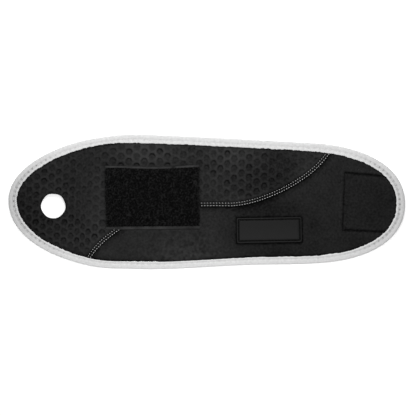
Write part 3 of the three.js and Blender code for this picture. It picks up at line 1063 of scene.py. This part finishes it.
# Painted light and shade on the tape: darker round the two ends and along the upper edge, lighter along the
# lower edge.
TAPE_LIGHT_AND_SHADE = [  # lighter and darker places of the tape
    Blotch(x=-160, y=0, across=34, up=40, amount=-0.16),
    Blotch(x=160, y=0, across=34, up=40, amount=-0.04),
    Blotch(x=0, y=-52, across=110, up=14, amount=0.05),
    Blotch(x=0, y=52, across=110, up=14, amount=-0.05),
]
UNEVEN = [  # where the tape covers more of the panels than usual, or less
    Blotch(x=-85, y=48, across=14, up=12, amount=-0.8),
    Blotch(x=-45, y=50, across=16, up=12, amount=0.5),
    Blotch(x=107, y=40, across=16, up=12, amount=0.6),
    Blotch(x=132, y=30, across=12, up=12, amount=0.5),
    Blotch(x=-117, y=-40, across=12, up=12, amount=0.6),
    Blotch(x=-85, y=-50, across=14, up=12, amount=-0.4),
    Blotch(x=-5, y=-50, across=24, up=12, amount=-0.5),
    Blotch(x=107, y=-44, across=16, up=12, amount=0.4),
]


def to_nearest(run, pitch):
    """How far along a line a point is from the nearest of a row of evenly spaced marks."""
    return (run + pitch / 2) % pitch - pitch / 2


spine = even(edge, BINDING_STEP, True)
inward = rightward(spine, True)
run = np.arange(len(spine)) * edge_length / len(spine)
inset, height, side = (np.broadcast_to(column, (len(spine), len(profile))) for column in profile.T)
travel = np.broadcast_to(run[:, None], inset.shape)
flat = np.stack([travel, inset], axis=-1).reshape(-1, 2)
stitch = np.abs(to_nearest(travel, STITCH_PITCH))
outer = np.abs(side) > 0.95
round_end = ramp(np.abs(spine[:, :1]), 110, 152)
upper_edge = np.clip(-inward[:, 1:], 0, 1)
wander = np.maximum(BULGE * round_end, SLACK * upper_edge) + blotches(spine, UNEVEN)[:, None]
wander = wander + 0.2 * noise(np.stack([run, np.zeros_like(run)], axis=1), 7, seed=4)[:, None]
wander = wander + 0.35 * noise(np.stack([run, np.ones_like(run)], axis=1), 1.5, seed=5)[:, None]
wander = wander + 0.15 * np.sin(2 * math.pi * run / TOOTH)[:, None]
ripple = noise(flat * [1, 0.25], 1.7, seed=6).reshape(inset.shape)
luck = np.random.default_rng([SEED, 20]).uniform(0.3, 1.2, round(edge_length / STITCH_PITCH))
luck = luck[np.round(run / STITCH_PITCH).astype(int) % len(luck)][:, None]
tight = 0.4 * luck + (0.75 - 0.1 * luck) * round_end  # stitches pull hardest round the two ends
sink = 0.20 * bump(inset - STITCH_ROW, 0.8)
sink = sink + 0.5 * tight * bump(inset - STITCH_ROW, 0.55) * bump(stitch, 0.75)
sink = sink - 0.10 * bump(inset - 5.3, 0.7) * (1 - bump(stitch, 1.2))
sink = sink + 0.07 * ripple * ramp(inset, 3.0, 6.0)
z = height - np.where(outer, sink * np.sign(side), 0)
z = np.clip(z, 0.0, None)
away = inset + wander * ramp(inset, 4.8, 6.0) * (np.abs(side) > 0)
points = np.concatenate(
    [spine[:, None, :] + inward[:, None, :] * away[..., None], z[..., None]],
    axis=-1,
).reshape(-1, 3)
rows = np.arange(len(spine))[:, None] * len(profile)
next_rows = np.roll(rows, -1, axis=0)
here = np.arange(len(profile))[None]
after = np.roll(here, -1, axis=1)
faces = np.stack([rows + here, rows + after, next_rows + after, next_rows + here], axis=-1).reshape(-1, 4)
teeth = np.sin(2 * math.pi * (travel / TOOTH + inset / 1.6)) * ramp(inset, 4.7, 5.4)
# Painted shade in the needle pits and along the stitch row round the ends, with the slanting loops of the
# inner edge lighter and darker in turn.
pit_shade_and_loops = round_end * 0.2 * bump(inset - STITCH_ROW, 0.9) - (0.05 + 0.09 * round_end) * teeth
pit_shade_and_loops = pit_shade_and_loops + tight * 0.55 * bump(inset - STITCH_ROW, 0.65) * bump(stitch, 0.8)
tone = blotches(spine, TAPE_LIGHT_AND_SHADE)[:, None] - np.where(outer, pit_shade_and_loops, 0)
# Painted light on the fold along the lower edges, which faces away from the lamps; the fold is a little
# darker elsewhere, and the inner lip is painted lighter.
low_side = np.clip(inward[:, 1:], 0, 1)
tone = tone + (0.3 * low_side - 0.04) * (1 - ramp(inset, 0.4, 2.6)) + 0.14 * ramp(inset, 5.3, 5.9)
edge_binding = make_piece(
    "edge_binding_tape", points, faces, binding_tape, "binding_tape",
    stands_for="edge_binding",
    tone=tone.ravel(),
    along=travel.ravel(),
    across=(inset * np.sign(side + 0.01)).ravel(),
)

# %% [markdown]
# ## Stitches
# A lockstitch shows as a row of short threads, each diving into the cloth at both ends. Curves with a
# round bevel would do, but hundreds of curve objects are slow, so one function makes many short tubes as
# a single mesh. The same function later makes the pile and the hooks. Two low strands wind round each
# stitch, as in real thread.

# %% Tubes
def make_tubes(centres, binormals, radius, sides, strands=0.0):
    """Round tubes along short lines. centres has a row of points for each tube, binormals one vector."""
    count, rings, _ = centres.shape
    ahead = np.gradient(centres, axis=1)
    ahead /= np.linalg.norm(ahead, axis=2, keepdims=True)
    binormal = np.broadcast_to(binormals[:, None], centres.shape)
    normal = np.cross(ahead, binormal)
    normal /= np.linalg.norm(normal, axis=2, keepdims=True)
    turn = np.linspace(0, 2 * math.pi, sides, endpoint=False)
    taper = np.ones(rings)
    taper[[0, -1]] = 0.55
    length = np.linalg.norm(np.diff(centres, axis=1), axis=2).cumsum(1)
    length = np.concatenate([np.zeros((count, 1)), length], axis=1)
    twist = turn[None, None] - length[..., None] * 2 * math.pi
    size = np.reshape(radius, (-1, 1, 1)) * taper[None, :, None] * (1 + strands * np.cos(2 * twist))
    ring = normal[:, :, None] * np.cos(turn)[:, None] + binormal[:, :, None] * np.sin(turn)[:, None]
    points = (centres[:, :, None] + ring * size[..., None]).reshape(-1, 3)
    index = np.arange(count * rings * sides).reshape(count, rings, sides)
    after = np.roll(index, -1, axis=2)
    walls = np.stack([index[:, :-1], after[:, :-1], after[:, 1:], index[:, 1:]], axis=-1).reshape(-1, 4)
    faces = walls.tolist() + index[:, 0, ::-1].tolist() + index[:, -1].tolist()
    along = np.broadcast_to(length[..., None], size.shape).ravel()
    turns = np.broadcast_to(turn / (2 * math.pi), (count, rings, sides)).ravel()
    return points, faces, along, turns


Stitching = namedtuple("Stitching", "pitch length radius lift")
STITCH_STEP = 0.1  # spacing of the points that stitches are set out on
STITCH_RINGS = 7
THREAD_SIDES = 8


def everywhere(points):
    return np.ones(len(points), dtype=bool)


def make_stitches(name, line, closed, surface, keep, kind, material, slot, below=False, crowding=everywhere):
    """A row of stitches along a line, on a surface given as a height formula."""
    dense = even(line, STITCH_STEP, closed)
    run = np.cumsum(STITCH_STEP * crowding(dense))
    count = round(run[-1] / kind.pitch)
    middles = np.interp((np.arange(count) + 0.5) * run[-1] / count, run, np.arange(len(dense)))
    share = np.linspace(0, 1, STITCH_RINGS)
    stops = middles[:, None] + (share - 0.5) * kind.length / STITCH_STEP
    flat = dense[np.round(stops).astype(int) % len(dense)]
    kept = keep(flat[:, STITCH_RINGS // 2])
    flat = flat[kept]
    dive = kind.lift * (1 - np.abs(2 * share - 1) ** 3) - 0.6 * kind.radius
    z = surface(flat.reshape(-1, 2)).reshape(flat.shape[:2]) + (-dive if below else dive)
    centres = np.concatenate([flat, z[..., None]], axis=-1)
    ahead = centres[:, -1] - centres[:, 0]
    binormal = np.cross(ahead, [0, 0, 1])
    binormal /= np.linalg.norm(binormal, axis=1, keepdims=True)
    points, faces, along, turns = make_tubes(centres, binormal, kind.radius, THREAD_SIDES, strands=0.12)
    return make_piece(name, points, faces, material, slot, along=along, around=turns)


SEAM_STITCHES = [
    Stitching(pitch=2.1, length=0.82, radius=0.2, lift=0.2),
    Stitching(pitch=2.1, length=0.7, radius=0.175, lift=0.18),
]
BINDING_STITCH = Stitching(pitch=STITCH_PITCH, length=3.7, radius=0.2, lift=0.16)
STITCH_LEVELS = {"binding_stitches_top": BINDING.top - 0.32, "binding_stitches_under": 0.42}
WIDER = 0.125  # share of the seam's stitches left out where it runs level
print("stitches of the seam are", SEAM_STITCHES[0].pitch, "mm apart")

# %% Stitches of the seam and the binding
def in_the_open(points):
    """True where the seam shows: clear of the binding and of the loop patch."""
    place = survey(points)
    return (place.edge > BINDING.width - 0.3) & (place.patch > -0.6)


def straight_run(points):
    """Beside the patch the seam runs level, and stitches as close as the real ones would run together into a
    line in a small picture. They are set wider apart there than they were sewn, so that each one shows."""
    return 1 - WIDER * ramp(points[:, 0], -12, -10) * (1 - ramp(points[:, 0], 17, 23))


for name, row, kind in zip(("seam_stitches_edge", "seam_stitches_inner"), STITCH_ROWS, SEAM_STITCHES):
    line = moved(seam, -row, False)
    make_stitches(
        name, line, False, surveyed(honeycomb_top), in_the_open, kind, white_thread, "binding_tape",
        crowding=straight_run,
    )
line = moved(edge, STITCH_ROW, True)
for name, level in STITCH_LEVELS.items():
    make_stitches(
        name, line, True, level_at(level), everywhere, BINDING_STITCH, pale_thread, "binding_tape",
        below=level < BINDING.top / 2,
    )

# %% [markdown]
# ## The loop patch
# Loop tape is a woven ribbon whose face is brushed into a tangle of fine loops, with a bare selvedge
# along each long edge. Hair particles could make the pile, but they are not a mesh that other programs
# can read. Here a lumpy pad gives the mass of the pile, and thousands of small arched threads lie over it
# in every direction.

# %% Loop tape
LOOP_BASE = top_of("honeycomb_panel") - 0.1
LOOP_TOP = top_of("loop_patch")
LOOP_TAPE = 0.7
SAG = 1.2  # how far the upper edge sags in the middle
TAUT = 0.3  # how far the stitches pull its ends up
Sheen = namedtuple("Sheen", "x reach amount")
UPPER_SHEEN = [
    Sheen(x=-31, reach=5, amount=0.3),
    Sheen(x=-19, reach=3, amount=-0.4),
    Sheen(x=-11, reach=3, amount=0.6),
    Sheen(x=1, reach=3, amount=0.4),
    Sheen(x=5, reach=2, amount=-0.5),
    Sheen(x=17, reach=2, amount=-1.1),
    Sheen(x=29, reach=5, amount=0.4),
]
LOWER_SHEEN = [
    Sheen(x=-30, reach=5, amount=-0.2),
    Sheen(x=-19, reach=4, amount=1.1),
    Sheen(x=-5, reach=4, amount=0.9),
    Sheen(x=7, reach=7, amount=1.2),
]


def gloss(along, sheens):
    """How a selvedge's painted sheen runs along its length: twisted here and there, it catches more or less
    light.
    """
    return sum(sheen.amount * bump(along - sheen.x, sheen.reach) for sheen in sheens)


def slack(local):
    """The patch as it was sewn: its upper edge sags a little between its ends."""
    share = local[:, 0] / LOOP_PATCH.length
    upper = ramp(local[:, 1], -LOOP_PATCH.width / 2, LOOP_PATCH.width / 2)
    drop = (SAG * np.cos(math.pi * np.clip(share - 0.06, -0.5, 0.5)) ** 2 - TAUT) * upper
    return local - np.stack([np.zeros_like(drop), drop], axis=1)


def field(length, width, spacing):
    """A grid of points over a rectangle, its edges included, and its rows and columns."""
    columns, rows = round(length / spacing) + 1, round(width / spacing) + 1
    x = np.linspace(-length / 2, length / 2, columns)
    y = np.linspace(-width / 2, width / 2, rows)
    return np.stack(np.meshgrid(x, y), axis=-1).reshape(-1, 2), columns, rows


def pad(local, columns, rows, top, bottom):
    """A closed pad over a grid: its top, its underside and the walls between them."""
    index = np.arange(columns * rows).reshape(rows, columns)
    quads = np.stack([index[:-1, :-1], index[:-1, 1:], index[1:, 1:], index[1:, :-1]], axis=-1).reshape(-1, 4)
    border = np.concatenate([index[0, :-1], index[:-1, -1], index[-1, :0:-1], index[:0:-1, 0]])
    after = np.roll(border, -1)
    lower = columns * rows
    walls = np.stack([border, border + lower, after + lower, after], axis=-1)
    points = np.concatenate([np.column_stack([local, top]), np.column_stack([local, bottom])])
    return points, np.concatenate([quads, quads[:, ::-1] + lower, walls])


local, columns, rows = field(LOOP_PATCH.length, LOOP_PATCH.width, 0.8)
rim = -outside(from_place(local, LOOP_PATCH), LOOP_PATCH)
top = LOOP_BASE + LOOP_TAPE * ramp(rim, -0.3, 1.4) + 0.06 * noise(local, 1.5, seed=7)
points, faces = pad(local, columns, rows, top, np.full(len(local), LOOP_BASE - 0.1))
points[:, :2] = from_place(slack(points[:, :2]), LOOP_PATCH)
along = local[:, 0]
# Painted sheen on the two selvedges, the upper one brighter, and painted light on the lower edge's slope,
# which faces away from the lamps.
tone = np.where(local[:, 1] > 0, 1.2 + gloss(along, UPPER_SHEEN), 0.9 + gloss(along, LOWER_SHEEN))
tone += 0.4 * noise(local * [0.5, 1], 2.0, seed=21) - 0.3
tone += 1.0 * (local[:, 1] < 0) * (1 - ramp(rim, 0.4, 1.4))
tone = np.concatenate([tone, tone])
loop_tape = make_piece(
    "loop_tape", points, faces, loop_ground, "loop_pile", stands_for="loop_patch", tone=tone
)

# %% Pile of the loop tape
PILE_LIFT = 0.75  # height of the pad of pile over the tape
Selvedge = namedtuple("Selvedge", "upper lower")
SELVEDGE = Selvedge(upper=1.5, lower=2.5)  # what the pile leaves bare along the tape's long edges
LOOPS = 4800


def curls(local):
    """Streaks of loops that curl up, between hollows: as a tone, painted highlight on the streaks, painted
    shade in the hollows.
    """
    bend = np.stack([noise(local, 2.6, seed=17), noise(local, 2.6, seed=18)], axis=1)
    streak = 1 - np.abs(noise(local + 0.8 * bend, 1.25, seed=9))
    ragged_end = ramp(np.abs(local[:, 0]), LOOP_PATCH.length / 2 - 1.6, LOOP_PATCH.length / 2)
    return 2.2 * ramp(streak, 0.72, 1.0) - 0.6 + 1.2 * ragged_end


def frayed(local):
    """The pile's two ends are ragged where the tape was cut."""
    end = ramp(np.abs(local[:, 0]), LOOP_PATCH.length / 2 - 3, LOOP_PATCH.length / 2)
    return local + np.stack([0.7 * end * noise(local, 1.3, seed=19), np.zeros(len(local))], axis=1)


pile_width = LOOP_PATCH.width - SELVEDGE.upper - SELVEDGE.lower
pile_rise = np.array([0, (SELVEDGE.lower - SELVEDGE.upper) / 2])
local, columns, rows = field(LOOP_PATCH.length - 0.4, pile_width, 0.5)
over = np.abs(local) - np.array([LOOP_PATCH.length - 0.4, pile_width]) / 2
local = local + pile_rise
lumps = 0.14 * curls(local) + 0.18 * noise(local, 0.8, seed=10)
pad_top = LOOP_BASE + LOOP_TAPE + PILE_LIFT * ramp(-over.max(1), -0.3, 1.2) + lumps
points, faces = pad(frayed(local), columns, rows, pad_top, np.full(len(local), LOOP_BASE + LOOP_TAPE - 0.3))
points[:, :2] = from_place(slack(points[:, :2]), LOOP_PATCH)
tone = np.concatenate([curls(local), -0.4 * np.ones(len(local))])
make_piece("loop_pile_ground", points, faces, loop_pile, "loop_pile", tone=tone)

dice = np.random.default_rng([SEED, 11])
rows = math.ceil(math.sqrt(LOOPS * pile_width / LOOP_PATCH.length))
columns = LOOPS // rows
spots = np.stack(np.meshgrid(np.arange(columns), np.arange(rows)), axis=-1).reshape(-1, 2)
spots = (spots + dice.uniform(0, 1, spots.shape)) / [columns, rows] - 0.5
spots = spots * [LOOP_PATCH.length + 0.8, pile_width + 0.4] + pile_rise
heading = dice.uniform(0, 2 * math.pi, len(spots))
span = dice.uniform(0.7, 1.5, len(spots))
rise = dice.uniform(0.45, 1.0, len(spots))
lean = dice.uniform(-0.5, 0.5, len(spots))
arch = np.linspace(-0.1, math.pi + 0.1, 7)
ahead = np.stack([np.cos(heading), np.sin(heading)], axis=1)
aside = np.stack([-np.sin(heading), np.cos(heading)], axis=1)
flat = spots[:, None] + ahead[:, None] * (np.cos(arch)[:, None] * span[:, None, None] / 2)
flat = flat + aside[:, None] * (np.sin(arch)[:, None] * lean[:, None, None])
foot = LOOP_BASE + LOOP_TAPE + 0.5 * PILE_LIFT + 0.14 * curls(spots)
z = np.minimum(foot[:, None] + np.sin(arch) * rise[:, None], LOOP_TOP)
place = from_place(slack(flat.reshape(-1, 2)), LOOP_PATCH).reshape(flat.shape)
centres = np.concatenate([place, z[..., None]], axis=-1)
binormals = np.column_stack([turned(aside, LOOP_PATCH.turn), np.zeros(len(spots))])
thickness = dice.uniform(0.06, 0.1, len(spots))
points, faces, _, _ = make_tubes(centres, binormals, thickness, sides=3)
tone = np.repeat(curls(spots) + dice.uniform(-0.5, 1.0, len(spots)), len(points) // len(spots))
make_piece("loop_pile_threads", points, faces, loop_pile, "loop_pile", tone=tone)

# %% [markdown]
# ## The label
# The label is soft plastic cast in a shallow mould: a rounded rim, a groove for the stitches and a raised
# field, which stays bare. A bevelled box would lose the groove, so the label is lofted instead: the same
# rounded rectangle again and again, at the insets and heights of one short section table.

# %% Label
LABEL_BASE = PLAIN_TOP - 0.35
LABEL_RIM = bottom_of("label") + 1.6
LABEL_GROOVE = bottom_of("label") + 0.75
LABEL_FIELD = top_of("label")
LABEL_CORNER = 1.2
CORNER_STEPS = 6
SIDE_STEPS = 12
LABEL_SECTION = [
    (0.15, LABEL_BASE),
    (0.0, LABEL_BASE + 0.4),
    (0.0, LABEL_RIM - 0.35),
    (0.12, LABEL_RIM - 0.1),
    (0.3, LABEL_RIM),
    (0.8, LABEL_RIM),
    (1.0, LABEL_RIM - 0.1),
    (1.12, LABEL_RIM - 0.35),
    (1.2, LABEL_GROOVE),
    (1.9, LABEL_GROOVE),
    (2.0, LABEL_GROOVE + 0.25),
    (2.1, LABEL_FIELD - 0.3),
    (2.22, LABEL_FIELD - 0.08),
    (2.45, LABEL_FIELD),
    (4.0, LABEL_FIELD),
    (6.0, LABEL_FIELD),
    (8.0, LABEL_FIELD),
]


def rounded(length, width, corner):
    """A rounded rectangle whose points match those of any other, corner for corner."""
    x, y = length / 2 - corner, width / 2 - corner
    turns = np.linspace(0, math.pi / 2, CORNER_STEPS)
    line = []
    for quarter, (cx, cy) in enumerate([(x, y), (-x, y), (-x, -y), (x, -y)]):
        turn = turns + quarter * math.pi / 2
        line.append(np.stack([cx + corner * np.cos(turn), cy + corner * np.sin(turn)], axis=1))
    sides = []
    for bend, following in zip(line, line[1:] + line[:1]):
        share = np.linspace(0, 1, SIDE_STEPS + 2)[1:-1, None]
        sides += [bend, bend[-1] + (following[0] - bend[-1]) * share]
    return np.concatenate(sides)


rings = []
for inset, z in LABEL_SECTION:
    corner = max(0.35, LABEL_CORNER - inset * 0.4)
    ring = rounded(LABEL.length - 2 * inset, LABEL.width - 2 * inset, corner)
    rings.append(np.column_stack([from_place(ring, LABEL), np.full(len(ring), z)]))
count = len(rings[0])
points = np.concatenate(rings)
index = np.arange(len(points)).reshape(len(rings), count)
after = np.roll(index, -1, axis=1)
walls = np.stack([index[:-1], after[:-1], after[1:], index[1:]], axis=-1).reshape(-1, 4)
faces = walls.tolist() + [index[0, ::-1].tolist(), index[-1].tolist()]
section = np.repeat(np.array([inset for inset, _ in LABEL_SECTION]), count)
up = to_place(points[:, :2], LABEL)[:, 1]
lit_side = (up < LABEL.width / 2 - 3) & (np.abs(section - 2.2) < 0.2)
on_field = section > 2.15
# Painted shade in the stitch groove, a painted highlight on the field's bevel except along the top, and the
# field darker towards the top.
tone = -0.45 * bump(section - 1.55, 0.6) + 0.7 * lit_side + on_field * (0.08 - 0.6 * up / LABEL.width)
grain = on_field.astype(float)
make_piece(
    "label_moulding", points, faces, moulded, "moulded_label", stands_for="label", tone=tone, grain=grain
)

# %% Stitches of the label
LABEL_STITCH = Stitching(pitch=2.6, length=2.0, radius=0.17, lift=0.16)
stitch_loop = from_place(rounded(LABEL.length - 3.1, LABEL.width - 3.1, 0.6), LABEL)
in_groove = level_at(LABEL_GROOVE)
make_stitches(
    "label_stitches", stitch_loop, True, in_groove, everywhere, LABEL_STITCH, black_thread, "moulded_label"
)

# %% [markdown]
# ## The hook tape
# Hook tape lies on the inner face, so it only shows when the wrap is turned over. It is a woven ribbon
# with rows of small stiff hooks. Each hook is a bent wire: up, over and a little down again. The end of
# the tape is cut to the curve of the binding.

# %% Hook tape
HOOK_TOP = HOOK_SEAT - 0.1
HOOK_FACE = 0.95
HOOK_ROW = 1.3
HOOK_SPACING = 1.6
HOOK_WIRE = 0.09

bound = even(moved(edge, BINDING.width + CLEARANCE, True), 0.8, True)
local = to_place(bound, HOOK_PATCH)
across_it = np.abs(local[:, 1]) < HOOK_PATCH.width / 2
end = bound[run_of(across_it & (local[:, 0] > 0))]
low_left = np.array([-HOOK_PATCH.length / 2, -HOOK_PATCH.width / 2])
corners = from_place(np.array([low_left, low_left * [1, -1]]), HOOK_PATCH)
rim = even(np.concatenate([end, corners]), 0.8, True)
local = to_place(rim, HOOK_PATCH) / [HOOK_PATCH.length / 2, HOOK_PATCH.width / 2]
rim = rim - (local[:, ::-1] ** 2 - 1) * np.sign(local) * 0.08 * (np.abs(local) > 0.995)
points = grid(1.6)
place = survey(points)
inner = points[(place.hook < -1.0) & (place.edge > BINDING.width + CLEARANCE + 1.0)]


def rough_face(flat):
    return HOOK_FACE + 0.05 * noise(flat, 1.2, seed=12)


points, faces, _ = layer([rim], inner, inner, level_at(HOOK_TOP), rough_face)
tone = 0.2 * noise(points[:, :2], 3, seed=13)
hook_tape = make_piece(
    "hook_tape", points, faces, hook_ground, "hook_tape", stands_for="hook_patch", tone=tone
)

x = np.arange(-HOOK_PATCH.length / 2 + 3.2, HOOK_PATCH.length / 2, HOOK_SPACING)
y = np.arange(-HOOK_PATCH.width / 2 + 3.6, HOOK_PATCH.width / 2 - 3.4, HOOK_ROW)
spots = np.stack(np.meshgrid(x, y), axis=-1)
spots[1::2, :, 0] += HOOK_SPACING / 2
spots = spots.reshape(-1, 2)
spots = spots[survey(from_place(spots, HOOK_PATCH)).edge > BINDING.width + 2.2]
dice = np.random.default_rng([SEED, 14])
spots = spots + dice.normal(0, 0.06, spots.shape)
bend = np.array([(0.0, 0.1), (0.0, -0.35), (0.06, -0.62), (0.28, -0.78), (0.5, -0.66), (0.56, -0.45)])
facing = np.where(dice.uniform(size=len(spots)) < 0.5, -1, 1)
flat = np.stack([spots[:, :1] + facing[:, None] * bend[:, 0], np.repeat(spots[:, 1:], len(bend), 1)], axis=-1)
place = from_place(flat.reshape(-1, 2), HOOK_PATCH).reshape(flat.shape)
z = np.broadcast_to(HOOK_FACE + bend[:, 1], flat.shape[:2])
centres = np.concatenate([place, z[..., None]], axis=-1)
binormals = np.tile(np.append(turned(np.array([[0.0, 1.0]]), HOOK_PATCH.turn)[0], 0), (len(spots), 1))
points, faces, _, _ = make_tubes(centres, binormals, HOOK_WIRE, sides=5)
tone = np.repeat(dice.uniform(-0.2, 0.3, len(spots)), len(points) // len(spots))
make_piece("hook_rows", points, faces, hook_nylon, "hook_tape", tone=tone)

# %% Stitches of the hook tape
HOOK_STITCH = Stitching(pitch=2.7, length=2.3, radius=0.16, lift=0.08)


def on_plain_face(points):
    return survey(points).edge > BINDING.width + 0.2


make_stitches(
    "hook_stitches_top", hook_stitches, False, surveyed(plain_top), on_plain_face, HOOK_STITCH,
    black_thread, "plain_cloth",
)
make_stitches(
    "hook_stitches_under", hook_stitches, False, level_at(HOOK_FACE), on_plain_face, HOOK_STITCH,
    black_thread, "hook_tape", below=True,
)

# %% [markdown]
# ## Cloth facts
# The flat size of the two panels and of the binding tape is worked out and printed. A panel's area is
# that of the outline that it was cut to, and the binding's width is the length of its folded section.
# They could be taken from the finished meshes, but then they would only repeat them.


def cut_area(rims):
    """The area inside an outline, less its holes, in square metres."""
    inside = []
    for x, y in (rim.T for rim in rims):
        inside.append(abs((x * np.roll(y, -1) - y * np.roll(x, -1)).sum()) / 2)
    return (inside[0] - sum(inside[1:])) * MM**2


def folded_width():
    """The binding's flat width: half the way round its section, less the tape's own thickness."""
    section_line = np.concatenate([profile, profile[:1]])[:, :2]
    return np.hypot(*np.diff(section_line, axis=0).T).sum() / 2 - BINDING.tape


for piece, rims in ((honeycomb_panel, honeycomb_cut), (plain_panel, plain_cut)):
    print(piece.name, "is cut from", round(cut_area(rims) * 1e4), "square centimetres")
print("binding tape is", round(folded_width(), 1), "mm wide before it is folded")

# %% [markdown]
# ## Table and light
# The wrap lies on a white table under a broad soft light. A second softbox beyond the upper edge grazes
# the cloth, which darkens the upper wall of each pressed cell; painted shade on that wall darkens it more.
# The world adds a little light from everywhere, so that no side is black. The Standard view transform
# keeps white at white.

# %% Floor and lights
FLOOR_SIZE = 6.0

floor_mesh = bpy.data.meshes.new("floor")
corner = FLOOR_SIZE / 2
floor_mesh.from_pydata(
    [(-corner, -corner, 0), (corner, -corner, 0), (corner, corner, 0), (-corner, corner, 0)],
    [],
    [(0, 1, 2, 3)],
)
floor = bpy.data.objects.new("floor", floor_mesh)
floor.location.z = -0.05 * MM
values = {"Roughness": 0.9, "Specular IOR Level": 0.1}
glow = {"Emission Color": (1, 1, 1, 1), "Emission Strength": 0.45}  # keeps the table white round the wrap
floor_white, tree, shader = new_material("floor_white", values | glow)
soft = effect(tree, mottle, Vector=millimetres(tree), Size=300.0)
tinted(tree, shader, grey(0.93), scaled(tree, soft, 0.01))
floor_mesh.materials.append(floor_white)
bpy.context.scene.collection.objects.link(floor)

Softbox = namedtuple("Softbox", "name place size power")
SOFTBOXES = [
    Softbox("overhead", place=(-0.02, -0.05, 0.45), size=0.3, power=1.0),
    Softbox("upper_edge", place=(-0.02, 0.38, 0.38), size=0.30, power=2.0),
]
for box in SOFTBOXES:
    light = bpy.data.lights.new(box.name, "AREA")
    light.size = box.size
    light.energy = box.power
    lamp = bpy.data.objects.new(box.name, light)
    lamp.location = box.place
    lamp.rotation_mode = "QUATERNION"
    lamp.rotation_quaternion = (-Vector(box.place)).to_track_quat("-Z", "Y")
    bpy.context.scene.collection.objects.link(lamp)

world = bpy.data.worlds.new("studio")
world.use_nodes = True
world.node_tree.nodes["Background"].inputs["Color"].default_value = (1, 1, 1, 1)
world.node_tree.nodes["Background"].inputs["Strength"].default_value = 0.12
bpy.context.scene.world = world
bpy.context.scene.view_settings.view_transform = "Standard"
print("lights:", [box.name for box in SOFTBOXES])
